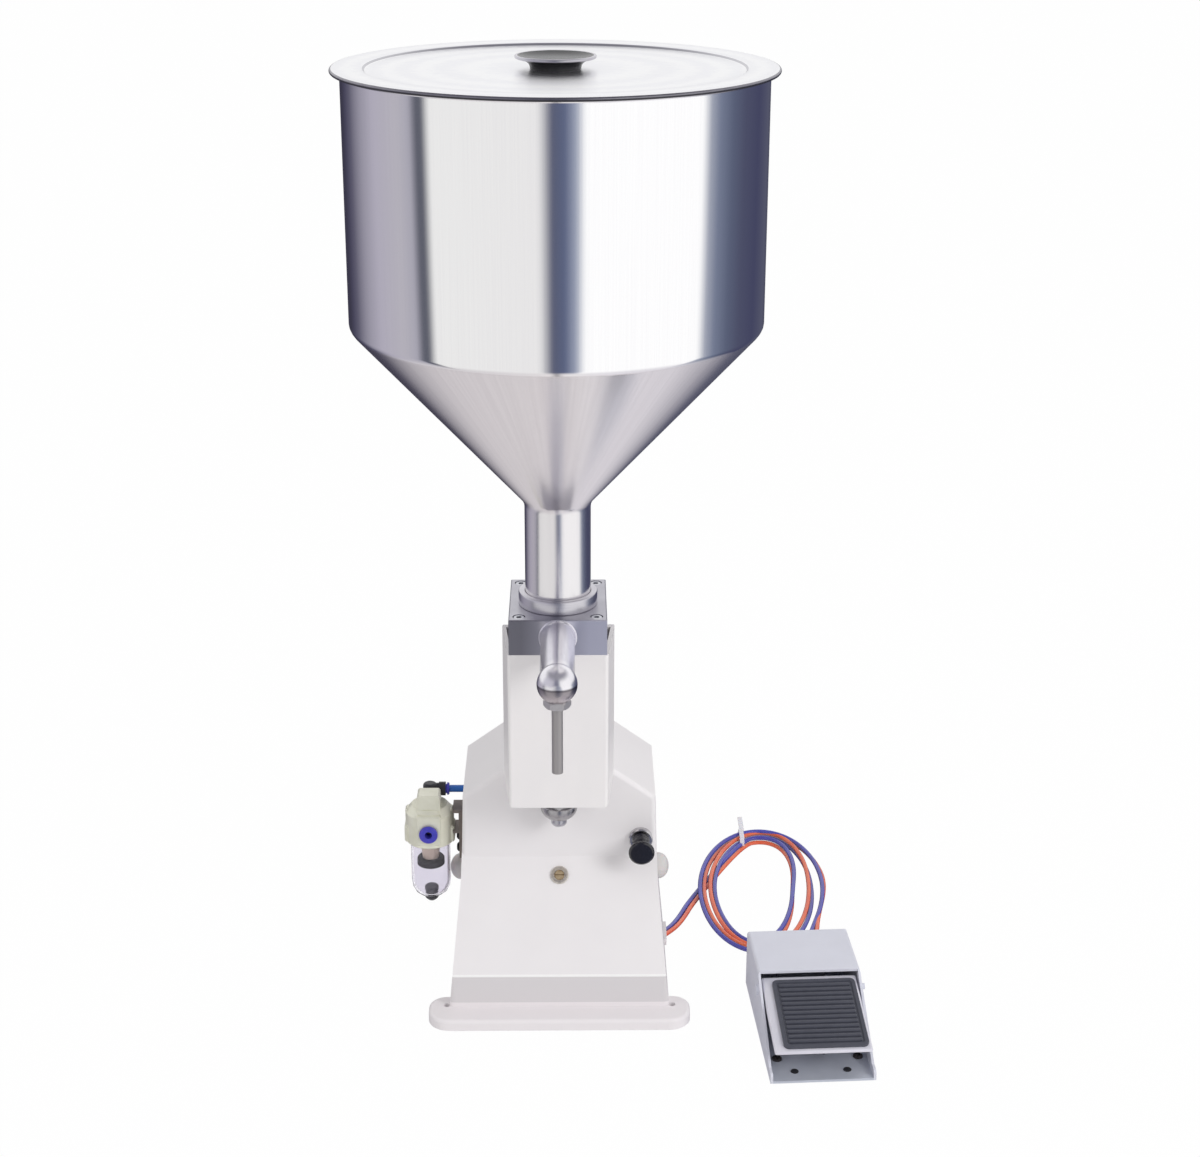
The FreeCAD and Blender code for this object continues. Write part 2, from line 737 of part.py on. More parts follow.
def make_stroke_nut():
    """A chromed hexagon nut over a round skirt, on the tail of the rod."""
    z = stroke_nut_top() - stroke_nut_h
    skirt_h = stroke_nut_h * 0.5
    nut = hexagon(point(0, 0, z + skirt_h), Z_AXIS, stroke_nut_r * 1.74, stroke_nut_h - skirt_h)
    skirt = [(0, 0)]
    for degrees in (36, 45, 54, 63, 72, 81, 90):
        angle = math.radians(degrees)
        skirt.append((stroke_nut_r * 0.93 * math.sin(angle), skirt_h * (math.cos(math.radians(36)) - math.cos(angle)) / math.cos(math.radians(36))))
    skirt += [(stroke_nut_r * 0.93, skirt_h + 0.6), (0, skirt_h + 0.6)]
    nut = nut.fuse(turned(skirt, point(0, 0, z), Z_AXIS))
    return nut.cut(rod(point(0, 0, z - 1), Z_AXIS, rod_r + fit_gap, stroke_nut_h + 2))


# Push-in fittings, all alike: a threaded foot, a hexagon and a round body with a release collar
fitting_thread_r = 2.6
fitting_r = 4.6
fitting_l = 12.0


def push_in_fitting(centre, direction):
    """A fitting whose hexagon sits at centre, with its thread behind and its mouth along the direction."""
    foot = rod(centre, direction * -1, fitting_thread_r, 5.0)
    hexa = hexagon(centre, direction, 9.0, 3.5)
    outline = [(0, 3.0), (fitting_r, 3.0), (fitting_r, fitting_l - 2.5), (fitting_r - 0.7, fitting_l - 2.0), (3.0, fitting_l - 2.0),
               (3.0, fitting_l - 1.4), (3.8, fitting_l - 1.4), (3.8, fitting_l), (0, fitting_l)]
    return foot.fuse(hexa).fuse(turned(outline, centre, direction))


def make_push_in_fittings():
    fittings = [push_in_fitting(point(0, air_half_w, z), Y_AXIS) for z in port_heights()]
    for x in pedal_port_x():
        centre = place_pedal_point(V(x, pedal_l - pedal_sheet, pedal_port_z()))
        fittings.append(push_in_fitting(centre, pedal_direction(V(0, 1, 0))))
    for x in (-main_valve_port_x, main_valve_port_x):
        fittings.append(push_in_fitting(point(main_valve_x + x, main_valve_y, main_valve_z + main_valve_h), Z_AXIS))
    return Part.makeCompound(fittings)


# Main air valve, screwed to the inside of the left wall
main_valve_x = -30.0
main_valve_y = 88.0
main_valve_z = 60.0
main_valve_h = 30.0
main_valve_left = 40.0
main_valve_right = 34.0
main_valve_half_t = 11.0
main_valve_port_x = 12.0


def make_main_air_valve():
    z = main_valve_z
    y = axis_y + main_valve_y
    body = block(main_valve_x - main_valve_left, main_valve_x + main_valve_right,
                 y - main_valve_half_t, y + main_valve_half_t, z, z + main_valve_h)
    body = body.makeChamfer(1.0, body.Edges)
    wall = side_wall_x(z + main_valve_h) - body_wall
    foot_y = main_valve_half_t * 0.73
    foot_z = z + main_valve_h * 0.6
    foot = block(-wall, main_valve_x - main_valve_left * 0.9, y - foot_y, y + foot_y, foot_z, foot_z + main_valve_h / 3)
    for x in (main_valve_x - main_valve_port_x, main_valve_x + main_valve_port_x):
        body = body.cut(rod(V(x, y, z + main_valve_h - 5.0), Z_AXIS, fitting_thread_r, 6))
    ends = turned([(0, 0), (7.5, 0), (7.5, 6), (6.5, 7), (0, 7)], V(main_valve_x + main_valve_right, y, z + main_valve_h / 2), X_AXIS)
    return body.fuse(foot).fuse(ends)


# Hand valve: a chromed bush through the front wall with the valve behind it, and the knob on its stem
hand_stem_r = 2.5


def hand_point(forward):
    """A point on the hand valve's axis, so far in front of the face."""
    return point(hand_x, face_y - forward, hand_z)


def make_hand_valve_body():
    plug = hand_neck_r + 1.6
    mouth = hand_neck_r + slide_gap
    outline = [(hand_stem_r + fit_gap, -32), (8.0, -32), (8.0, -body_wall - 1.0), (plug, -body_wall),
               (plug, 0), (hand_collar_r, 0), (hand_collar_r, 3.4), (hand_collar_r - 1.0, 4.4),
               (mouth, 4.4), (mouth, -2.5), (hand_stem_r + fit_gap, -2.5)]
    return turned(outline, hand_point(0), V(0, -1, 0))


def make_hand_valve_knob():
    start = 4.0
    outline = [(0, -20), (hand_stem_r, -20), (hand_stem_r, start), (hand_neck_r - 0.8, start), (hand_neck_r, start + 0.8),
               (hand_neck_r, hand_reach - 6.0), (hand_neck_r - 1.6, hand_reach - 4.6), (hand_neck_r - 1.6, hand_reach - 3.8),
               (hand_cap_r - 0.6, hand_reach - 3.2), (hand_cap_r, hand_reach - 2.4), (hand_cap_r, hand_reach - 0.9),
               (hand_cap_r - 1.0, hand_reach), (0, hand_reach)]
    return turned(outline, hand_point(0), V(0, -1, 0))


# Speed screw in its bezel, square to the ramp
def ramp_inward():
    run = face_y - plinth_front
    rise = ramp_top_z - plinth_h
    length = math.hypot(run, rise)
    return V(0, rise / length, -run / length)


def ramp_point(outward):
    """The speed screw's place on the ramp, so far outside it."""
    slope = (face_y - plinth_front) / (ramp_top_z - plinth_h)
    y = plinth_front + (screw_z - plinth_h) * slope
    return point(0, y, screw_z) - ramp_inward() * outward


def make_speed_bezel():
    outline = [(speed_screw_r + fit_gap, -13), (bezel_r - 1.0, -13), (bezel_r - 1.0, 0), (bezel_r, 0), (bezel_r, 1.0), (bezel_r - 0.8, 1.8),
               (bezel_r - 2.0, 1.8), (speed_screw_r + 0.8, 1.0), (speed_screw_r + fit_gap, 1.0)]
    return turned(outline, ramp_point(0), ramp_inward() * -1)


def make_speed_screw():
    outline = [(0, -17), (2.0, -12), (speed_screw_r, -12), (speed_screw_r, 0.4), (speed_screw_r - 0.6, 1.0), (0, 1.0)]
    screw = turned(outline, ramp_point(0), ramp_inward() * -1)
    slot = block(-speed_screw_r - 1, speed_screw_r + 1, -0.6, 0.6, -1.2, 3)
    slot.Placement = FreeCAD.Placement(ramp_point(0), FreeCAD.Rotation(Z_AXIS, ramp_inward() * -1))
    return screw.cut(slot)


# Side caps, with a boss that plugs the wall
cap_sink = 2.0


def make_side_caps():
    caps = []
    for side in (-1, 1):
        wall = side_wall_x(cap_z)
        centre = point(side * wall, cap_y, cap_z)
        outline = [(0, -cap_sink), (cap_r, -cap_sink)]
        for degrees in (0, 15, 30, 45, 60, 75, 90):
            angle = math.radians(degrees)
            outline.append((cap_r * math.cos(angle), 1.5 + (cap_reach - 1.5) * math.sin(angle)))
        cap = turned(outline, centre, V(side, 0, 0)).cut(body_form(0, 0))
        caps.append(cap.fuse(rod(centre, V(-side, 0, 0), cap_r - 2.0, body_wall + 1)))
    return Part.makeCompound(caps)


# Air filter on its bracket at the left
def filter_point(x, y, z):
    return point(filter_x + x, filter_y + y, z)


def filter_ring_top():
    return filter_ring_bottom + filter_ring_h


def filter_block_half_depth():
    return filter_ring_r * 0.68


def make_filter_head():
    """Die-cast head: a round body with two flat wings, a tapered top block and two port bosses."""
    low = filter_ring_bottom
    top = filter_ring_top()
    r = filter_ring_r
    outline = [(0, 0), (r - 1.0, 0), (r, 1.0), (r, filter_ring_h - 9), (r - 5, filter_ring_h - 3), (0, filter_ring_h - 3)]
    head = turned(outline, filter_point(0, 0, low), Z_AXIS)
    half = filter_block_w / 2
    depth = filter_block_half_depth()
    taper = [(filter_x - half - 0.8, top - 9), (filter_x + half + 0.8, top - 9), (filter_x + half, filter_block_top - 1.5),
             (filter_x + half - 1.5, filter_block_top), (filter_x - half + 1.5, filter_block_top), (filter_x - half, filter_block_top - 1.5)]
    head = head.fuse(prism_y(taper, axis_y + filter_y - depth, axis_y + filter_y + 2))
    wings = block(filter_x - r - 0.8, filter_x + r + 0.8, axis_y + filter_y - 9, axis_y + filter_y + 9, low + 1, low + 16)
    head = head.fuse(wings.makeChamfer(1.5, wings.Edges))
    ears = block(filter_x - r, filter_x + r, axis_y + filter_y - 5, axis_y + filter_y + 5, low + 14, low + 30)
    head = head.fuse(ears.makeChamfer(1.5, ears.Edges))
    pad = block(filter_x - half - 1, filter_x + half + 1, axis_y + filter_y - r - 0.2, axis_y + filter_y, low + 3, top - 6)
    head = head.fuse(pad.makeChamfer(1.2, pad.Edges))
    head = head.fuse(rod(inlet_mouth(), Y_AXIS, inlet_ring_r + 1.6, r))
    seat = rod(filter_point(0, elbow_back, top - 14), Z_AXIS, 7.4, 13.0)
    head = head.fuse(seat)
    head = head.cut(rod(filter_point(0, 0, low - 1), Z_AXIS, bowl_r + slide_gap, 5.0))
    head = head.cut(rod(filter_point(0, 0, low - 1), Z_AXIS, 8.3, 9.0))
    head = head.cut(rod(inlet_mouth() - Y_AXIS, Y_AXIS, inlet_ring_r - 1.8, 15))
    return head.cut(rod(filter_point(0, elbow_back, top - 8), Z_AXIS, 4.5, 10))


def make_filter_bowl():
    top = filter_ring_bottom + 4
    h = bowl_h
    r = bowl_r
    w = bowl_wall
    outer = [(drain_r - 2.4, 0), (7.0, 0), (8.0, 2.5), (r - 3.6, 6.0), (r - 1.2, 10), (r, 16), (r, h)]
    inner = [(r - w, h), (r - w, 17), (r - w - 1.0, 12.0), (r - w - 3.6, 8.6), (drain_r - 2.4, 5.0)]
    return turned(outer + inner, filter_point(0, 0, top - h), Z_AXIS)


def make_filter_element():
    """Sintered cartridge with its holder, pushed up into the head."""
    z = filter_ring_bottom - baffle_drop
    outline = [(0, 5), (5.4, 5), (6.6, 7.5), (7.2, 12), (8.3, baffle_drop), (8.3, baffle_drop + 8), (0, baffle_drop + 8)]
    return turned(outline, filter_point(0, 0, z), Z_AXIS)


def make_filter_baffle():
    z = filter_ring_bottom - baffle_drop
    outline = [(0, 0), (9.4, 0), (11.2, 1.4), (11.2, 5.4), (10.2, 6.4), (9.2, 6.4), (8.2, 5.0), (0, 5.0)]
    ring = turned(outline, filter_point(0, 0, z), Z_AXIS)
    for i in range(12):
        angle = math.radians(30 * i + 15)
        notch = filter_point(11.6 * math.cos(angle), 11.6 * math.sin(angle), z - 1)
        ring = ring.cut(rod(notch, Z_AXIS, 1.1, 4.6))
    return ring


def bowl_bottom():
    return filter_ring_bottom + 4 - bowl_h


def make_drain_knob():
    z = bowl_bottom()
    stem = drain_r - 2.4 - fit_gap
    outline = [(0, -6.0), (3.0, -6.0), (4.6, -4.6), (drain_r, -3.4), (drain_r, -slide_gap), (stem, -slide_gap), (stem, 6.5), (0, 6.5)]
    knob = turned(outline, filter_point(0, 0, z), Z_AXIS)
    for i in range(8):
        angle = math.radians(45 * i)
        groove = filter_point((drain_r + 0.5) * math.cos(angle), (drain_r + 0.5) * math.sin(angle), z - 7)
        knob = knob.cut(rod(groove, Z_AXIS, 1.1, 6.4))
    return knob


def release_ring(centre, direction, outer, bore, sleeve, length):
    """The collar that frees a tube when it is pushed in; centre is the mouth's face."""
    start = release_travel + slide_gap
    outline = [(bore, -length), (sleeve, -length), (sleeve, start), (outer, start), (outer, start + 1.2),
               (outer - 0.6, start + 1.8), (bore, start + 1.8)]
    return turned(outline, centre, direction)


def inlet_mouth():
    return filter_point(0, -filter_ring_r - 0.1, inlet_z)


def make_inlet_release_ring():
    return release_ring(inlet_mouth(), V(0, -1, 0), inlet_ring_r, air_tube_r + 0.1, inlet_ring_r - 1.8 - fit_gap, 7.0)


def elbow_mouth():
    return filter_point(elbow_arm, elbow_back, elbow_z)


def make_elbow_fitting():
    """Black elbow: a threaded foot, a hexagon, a round knee and the arm towards the body."""
    top = filter_ring_top()
    foot = rod(filter_point(0, elbow_back, top - 7), Z_AXIS, 4.5, 7.0)
    nut = hexagon(filter_point(0, elbow_back, top - 1), Z_AXIS, 11.0, 2.4)
    knee = rod(filter_point(0, elbow_back, top + 1), Z_AXIS, 5.8, elbow_z + 5.4 - top - 1)
    knee = knee.makeFillet(2.4, [e for e in knee.Edges if all(v.Point.z > elbow_z + 5 for v in e.Vertexes)])
    arm = rod(filter_point(0, elbow_back, elbow_z), X_AXIS, 4.9, elbow_arm)
    lip = rod(filter_point(elbow_arm - 5.5, elbow_back, elbow_z), X_AXIS, 5.8, 5.5)
    elbow = foot.fuse(nut).fuse(knee).fuse(arm).fuse(lip)
    return elbow.cut(rod(filter_point(3, elbow_back, elbow_z), X_AXIS, 4.0, elbow_arm))


def make_elbow_release_ring():
    return release_ring(elbow_mouth(), X_AXIS, 5.2, air_tube_r + fit_gap, 4.0 - fit_gap, 5.0)


def filter_tube_start():
    return filter_point(4.0, elbow_back, elbow_z)


def filter_tube_length():
    return -side_wall_x(elbow_z) - filter_x + body_wall


def make_filter_tube():
    tube = rod(filter_tube_start(), X_AXIS, air_tube_r, filter_tube_length())
    return tube.cut(rod(filter_tube_start() - X_AXIS, X_AXIS, 2.0, filter_tube_length() + 2))


def bracket_face():
    return -side_wall_x(bracket_low) - bracket_t


def bracket_screw_points():
    return [point(bracket_face(), filter_y, z) for z in (109.4, 120.6)]


def make_filter_bracket():
    """Bent steel: a leg screwed to the side wall, with two arms that clamp the filter's head."""
    wall = -side_wall_x(bracket_low)
    half = 10.0
    y0 = axis_y + filter_y - half
    leg = block(bracket_face(), wall + 0.8, y0, y0 + 2 * half, bracket_low, bracket_high)
    leg = leg.cut(body_form(0, 0))
    reach = filter_x + filter_ring_r - 0.4
    upper = block(reach, wall - 0.5, y0, y0 + 2 * half, bracket_high - bracket_t, bracket_high)
    lower = block(reach, wall - 0.5, y0, y0 + 2 * half, bracket_arm_low, bracket_arm_low + bracket_t)
    bracket = leg.fuse(upper).fuse(lower).cut(make_filter_head())
    for centre in bracket_screw_points():
        bracket = bracket.cut(rod(centre - X_AXIS, X_AXIS, cover_screw_r, bracket_t + 3))
    return bracket


def make_machine_screws():
    screws = [pan_screw(c, V(0, -1, 0), body_wall + cover_t) for c in cover_screw_points()]
    screws += [pan_screw(c, X_AXIS, body_wall + bracket_t) for c in bracket_screw_points()]
    for x in pedal_screw_x():
        head = place_pedal_point(V(x, pedal_screw_y, pedal_sheet))
        screws.append(pan_screw(head, V(0, 0, -1), pedal_sheet))
    return Part.makeCompound(screws)


# Foot pedal
def place_pedal(shape):
    """Turn a shape of the pedal's own frame to its place on the floor."""
    spin = FreeCAD.Rotation(Z_AXIS, pedal_turn)
    shape.Placement = FreeCAD.Placement(point(pedal_x, pedal_front, 0), spin).multiply(shape.Placement)
    return shape


def place_pedal_point(p):
    return point(pedal_x, pedal_front, 0) + pedal_direction(p)


def pedal_direction(p):
    return FreeCAD.Rotation(Z_AXIS, pedal_turn).multVec(p)


def pedal_port_x():
    return (-10.0, 10.0)


def pedal_screw_x():
    return (-pedal_screw_reach, pedal_screw_reach)


def pedal_port_z():
    return pedal_sheet + pedal_valve_h / 2


def wall_outline(top_drop):
    """The side wall's outline: low at the front, rising to the cover."""
    return [(0, 0), (0, wall_front_h - 2), (2.5, wall_front_h), (10, wall_front_h), (cover_front - 6, pedal_h - 5 - top_drop),
            (cover_front, pedal_h - top_drop), (pedal_l - 3, pedal_h - top_drop), (pedal_l, pedal_h - 4 - top_drop), (pedal_l, 0)]


def make_pedal_base():
    """Floor plate with an upturned back, between the cover's walls."""
    half = pedal_w / 2 - pedal_sheet
    plate = block(-half, half, 0, pedal_l - pedal_sheet, 0, pedal_sheet)
    back = block(-half, half, pedal_l - 2 * pedal_sheet, pedal_l - pedal_sheet, 0, 8.0)
    ear_y = pin_y + ear_setback
    base = plate.fuse(back)
    for side in (-1, 1):
        x = side * (half - pedal_sheet / 2)
        ear = block(x - pedal_sheet / 2, x + pedal_sheet / 2, ear_y, pedal_l - pedal_sheet, 0, 14.0)
        base = base.fuse(ear)
    for x in (-pedal_hole_x, pedal_hole_x):
        base = base.cut(rod(V(x, pedal_hole_y, -1), Z_AXIS, pedal_hole_r, 6))
    for x in pedal_screw_x():
        base = base.cut(rod(V(x, pedal_screw_y, -1), Z_AXIS, cover_screw_r, 6))
    return place_pedal(base)


def make_pedal_cover():
    """Bent sheet: two side walls and a top, open at the front over the treadle."""
    half = pedal_w / 2
    outer = prism_x(wall_outline(0), half)
    top_edges = [e for e in outer.Edges if all(v.Point.z > pedal_h - 4.5 for v in e.Vertexes)
                 and abs(e.Vertexes[0].Point.x - e.Vertexes[1].Point.x) < 1 and abs(e.Vertexes[0].Point.y - e.Vertexes[1].Point.y) > 20]
    outer = outer.makeFillet(2.5, top_edges)
    inner = [(-1, -1), (-1, pedal_h), (cover_front - 0.01, pedal_h + 1), (cover_front, pedal_h - pedal_sheet),
             (pedal_l - pedal_sheet, pedal_h - pedal_sheet), (pedal_l - pedal_sheet, -1)]
    cover = outer.cut(prism_x(inner, half - pedal_sheet))
    for x in pedal_port_x():
        cover = cover.cut(rod(V(x, pedal_l - 10, pedal_port_z()), Y_AXIS, 6.0, 20))
    cover = cover.cut(rod(V(-half - 1, pin_y, pin_z), X_AXIS, pin_r, pedal_w + 2))
    return place_pedal(cover)


def treadle_slope():
    return (treadle_back_z - treadle_front_z) / (cover_front - treadle_front)


def treadle_top(y):
    return treadle_front_z + (y - treadle_front) * treadle_slope()


def make_pedal_treadle():
    """Pressed sheet tray, turned down at its sides and front, with a boss tube round the hinge pin."""
    half = treadle_w / 2
    back = cover_front + 3
    outer = prism_x([(treadle_front, treadle_top(treadle_front) - treadle_flange), (treadle_front, treadle_top(treadle_front)),
                     (back, treadle_top(back)), (back, treadle_top(back) - treadle_flange)], half)
    long_edges = [e for e in outer.Edges if abs(e.Vertexes[0].Point.x - e.Vertexes[1].Point.x) < 1e-6
                  and abs(e.Vertexes[0].Point.y - e.Vertexes[1].Point.y) > 20
                  and e.CenterOfMass.z > treadle_top(e.CenterOfMass.y) - 1]
    outer = outer.makeFillet(2.0, long_edges)
    tray = prism_x([(treadle_front + treadle_t, treadle_top(treadle_front) - treadle_flange - 3),
                    (treadle_front + treadle_t, treadle_top(treadle_front + treadle_t) - treadle_t),
                    (back + 1, treadle_top(back + 1) - treadle_t),
                    (back + 1, treadle_top(back + 1) - treadle_flange - 3)], half - treadle_t)
    treadle = outer.cut(tray)
    lip_z = treadle_top(treadle_front) - treadle_lip
    cutter = prism_x([(treadle_front - 1, lip_z - 10), (treadle_front - 1, lip_z), (treadle_front + treadle_t, lip_z),
                      (treadle_front + 10, lip_z - 8)], half + 1)
    treadle = treadle.cut(cutter)
    for side in (-1, 1):
        x = side * (half - treadle_t / 2)
        lug = prism_x([(pin_y - 9, treadle_top(pin_y - 9) - 2.5), (pin_y - 6.5, pin_z - 3), (pin_y - 3, pin_z - 6), (pin_y + 3, pin_z - 6),
                       (pin_y + 6.5, pin_z - 3), (pin_y + 9, treadle_top(pin_y + 9) - 2.5)], treadle_t / 2)
        lug.translate(V(x, 0, 0))
        treadle = treadle.fuse(lug)
    treadle = treadle.cut(rod(V(-half - 1, pin_y, pin_z), X_AXIS, pin_r + fit_gap, treadle_w + 2))
    return place_pedal(treadle)


def make_treadle_pad():
    """Ribbed rubber mat lying on the treadle."""
    half = pad_w / 2
    y0 = treadle_front + 4.0
    y1 = cover_front - 3.0
    skin = pad_t * 0.55
    mat = prism_x([(y0, treadle_top(y0)), (y0, treadle_top(y0) + skin), (y1, treadle_top(y1) + skin), (y1, treadle_top(y1))], half)
    ribs = 13
    pitch = (y1 - y0 - 5) / ribs
    for i in range(ribs):
        y = y0 + 2.5 + pitch * (i + 0.5)
        low = treadle_top(y) + skin * 0.4
        rib = prism_x([(y - pitch * 0.32, low), (y - pitch * 0.2, low + pad_t), (y + pitch * 0.2, low + pad_t), (y + pitch * 0.32, low)], half - 4)
        mat = mat.fuse(rib)
    mat.translate(V(pad_shift, 0, 0))
    return place_pedal(mat)


def make_pedal_pin():
    pin = rod(V(-pedal_w / 2 - 1.0, pin_y, pin_z), X_AXIS, pin_r, pedal_w + 4.5)
    head = rod(V(-pedal_w / 2 - 2.2, pin_y, pin_z), X_AXIS, pin_r + 1.8, 2.2)
    return place_pedal(pin.fuse(head))


def make_pedal_spring():
    top = treadle_top(return_spring_y) - treadle_t - return_spring_r * treadle_slope() - 0.6
    spring = coil_spring(V(0, return_spring_y, pedal_sheet), Z_AXIS, return_spring_r, top - pedal_sheet, 5, 0.6)
    return place_pedal(spring)


def make_pedal_valve():
    """Valve body on the floor plate, with a step up for the plunger's guide."""
    half = pedal_valve_half_w
    low = pedal_sheet
    body = block(-half, half, pedal_valve_front, pedal_l - pedal_sheet * 2, low, low + pedal_valve_h)
    body = body.makeChamfer(1.0, body.Edges)
    body = body.cut(rod(V(0, plunger_y, low + 6), Z_AXIS, plunger_r + fit_gap, pedal_valve_h))
    for x in pedal_port_x():
        body = body.cut(rod(V(x, pedal_l - pedal_sheet * 2 + 1, pedal_port_z()), V(0, -1, 0), fitting_thread_r + 1.2, 12))
        neck = rod(V(x, pedal_l - pedal_sheet * 2 - 3, pedal_port_z()), Y_AXIS, 5.4, 3 + pedal_sheet)
        body = body.fuse(neck.cut(rod(V(x, pedal_l - 20, pedal_port_z()), Y_AXIS, fitting_thread_r, 30)))
    return place_pedal(body)


def make_pedal_plunger():
    top = treadle_top(plunger_y) - treadle_t - plunger_r * treadle_slope() - slide_gap
    bottom = pedal_sheet + pedal_valve_h - 12
    plunger = rod(V(0, plunger_y, bottom), Z_AXIS, plunger_r, top - bottom)
    plunger = plunger.makeFillet(1.5, [e for e in plunger.Edges if all(v.Point.z > top - 0.01 for v in e.Vertexes)])
    return place_pedal(plunger)


# Air tubes: runs joined by tangent arcs, and one solid for the shared coil
def tube_path(name, points):
    """A wire of straight runs joined by arcs, each as large as its two runs allow."""
    edges = []
    radii = []
    start = points[0]
    for before, corner, after in zip(points, points[1:], points[2:]):
        u = before - corner
        w = after - corner
        shorter = min(u.Length, w.Length)
        half_turn = (math.pi - u.getAngle(w)) / 2
        radius = 0.45 * shorter / math.tan(half_turn)
        radii.append(radius)
        cut = 0.45 * shorter
        u.normalize()
        w.normalize()
        inward = (u + w).normalize()
        first = corner + u * cut
        last = corner + w * cut
        centre_distance = radius / math.cos(half_turn)
        middle = corner + inward * (centre_distance - radius)
        edges.append(Part.LineSegment(start, first).toShape())
        edges.append(Part.Arc(first, middle, last).toShape())
        start = last
    edges.append(Part.LineSegment(start, points[-1]).toShape())
    wire = Part.Wire(edges)
    print(name, "length %.1f" % wire.Length, "radii", " ".join("%.0f" % r for r in radii))
    return wire


def tube(name, points):
    wire = tube_path(name, points)
    along = points[1] - points[0]
    section = Part.Wire([Part.makeCircle(tube_r, points[0], along)])
    solid = wire.makePipeShell([section], True, False)
    print(name, "volume over section times length %.4f" % (solid.Volume / (math.pi * tube_r ** 2 * wire.Length)))
    return solid


def shifted(points, dx, dy):
    return [p + V(dx, dy, 0) for p in points]


lead_route = [point(85.0, 63.0, 12.0), point(92.5, 76.0, 9.5), point(100.5, 92.0, 6.5), point(108.5, 115.0, 3.2),
              point(117.5, 142.0, 2.3), point(124.5, 166.0, 2.3)]
lead_side = 2.2


def lead_points(side):
    """One tube of the pair, to the left or right of the middle line."""
    return shifted(lead_route, side * lead_side * 0.89, -side * lead_side * 0.45)


right_tail = [(227.0, 104.0, 5.0), (224.0, 81.0, 5.8), (216.5, 57.5, 8.2), (210.3, 39.5, 12.3)]
left_tail = [(220.8, 88.0, 4.8), (215.2, 69.0, 5.4), (206.5, 50.5, 7.5), (193.3, 37.0, 12.0), (188.8, 28.4, 13.8)]


def tail_points(route, x):
    """A tail's points, the last one at the mouth of its fitting in the pedal."""
    mouth = place_pedal_point(V(x, pedal_l - pedal_sheet + fitting_l, pedal_port_z()))
    return [point(*p) for p in route] + [mouth]


def grommet_shape(length, grow):
    """The oval plug of the tube hole, straight through the right wall."""
    wall = side_wall_x(grommet_z)
    x0 = wall - length + 1
    parts = []
    for side in (-1, 1):
        parts.append(rod(point(x0, grommet_y + side * grommet_r, grommet_z), X_AXIS, grommet_r + grow, length))
    middle = block(x0, x0 + length, axis_y + grommet_y - grommet_r, axis_y + grommet_y + grommet_r,
                   grommet_z - grommet_r - grow, grommet_z + grommet_r + grow)
    return parts[0].fuse(parts[1]).fuse(middle)


def make_tube_grommet():
    grommet = grommet_shape(body_wall + 2.6, 0)
    lip = grommet_shape(3.4, 1.8)
    lip.translate(V(1.2, 0, 0))
    return grommet.fuse(lip.cut(body_form(0, 0)))


def ellipse_ring_solid(centre_x, centre_y, half_w, half_l, z0, z1):
    major = max(half_w, half_l)
    minor = min(half_w, half_l)
    ellipse = Part.Ellipse(V(0, 0, 0), major, minor)
    face = Part.Face(Part.Wire([ellipse.toShape()]))
    solid = face.extrude(V(0, 0, z1 - z0))
    spin = FreeCAD.Rotation(Z_AXIS, 90 + coil_tilt)
    solid.Placement = FreeCAD.Placement(V(centre_x, centre_y, z0), spin)
    return solid


def make_tube_coil():
    """The outer shape of the shared coil: an oval ring lying on the floor, wider at the right."""
    centre_y = axis_y + coil_y
    outer = ellipse_ring_solid(coil_x, centre_y, coil_half_w, coil_half_l, floor_gap, coil_h)
    rims = [e for e in outer.Edges if e.Length > 100]
    outer = outer.makeFillet(3.0, rims)
    inner = ellipse_ring_solid(coil_x - 9, centre_y - 5, coil_half_w - 25, coil_half_l - 28, -1, coil_h + 1)
    return outer.cut(inner)


def make_cable_tie():
    """A strap round the coil's far end, with its head and tail."""
    half = tie_half_l
    outer = block(-half - 1.2, half + 1.2, -1.6, 1.6, 0, coil_h + 1.2)
    strap = outer.cut(block(-half, half, -3, 3, 0.15, coil_h + 0.2))
    head = block(half + 1.0, half + 5.6, -2.6, 2.6, 0, 5.0)
    tail = block(half + 5.0, half + tie_tail, -1.3, 1.3, 1.2, 2.4)
    tie = strap.fuse(head).fuse(tail)
    tie.Placement = FreeCAD.Placement(point(tie_x, tie_y, 0.05), FreeCAD.Rotation(Z_AXIS, tie_turn))
    return tie


# Write every piece
save("body_casting", make_body_casting())
save("front_housing", make_front_housing())
save("rear_cover", make_rear_cover())
save("machine_screws", make_machine_screws())
save("valve_block", make_valve_block())
save("block_screws", Part.makeCompound([socket_screw(c, block_screw_l) for c in block_screw_points()]))
save("hopper", make_hopper())
save("hopper_collar", make_hopper_collar())
save("lid", make_lid())
save("lid_knob", make_lid_knob())
seat_z = block_bottom + block_h - neck_depth - inlet_seat_t
save("inlet_ball", Part.makeSphere(inlet_ball_r, point(0, 0, inlet_ball_z())))
inlet_spring_low = block_bottom + chamber_floor_t
inlet_spring_high = inlet_ball_z() - spring_contact(inlet_ball_r)
save("inlet_spring", coil_spring(point(0, 0, inlet_spring_low), Z_AXIS, inlet_ball_r * 0.72,
                                 inlet_spring_high - inlet_spring_low, 2, spring_wire_r))
save("outlet_spout", make_outlet_spout())
outlet_z = block_bottom + spout_z
inlet_ring = make_seat_ring(point(0, 0, seat_z), Z_AXIS, inlet_seat_r, inlet_hole_r, inlet_seat_t)
outlet_ring = make_seat_ring(point(0, -housing_front, outlet_z), Y_AXIS, outlet_seat_r, outlet_hole_r, outlet_seat_t)
save("valve_seats", Part.makeCompound([inlet_ring, outlet_ring]))
save("outlet_ball", Part.makeSphere(outlet_ball_r, point(0, outlet_ball_y(), outlet_z)))
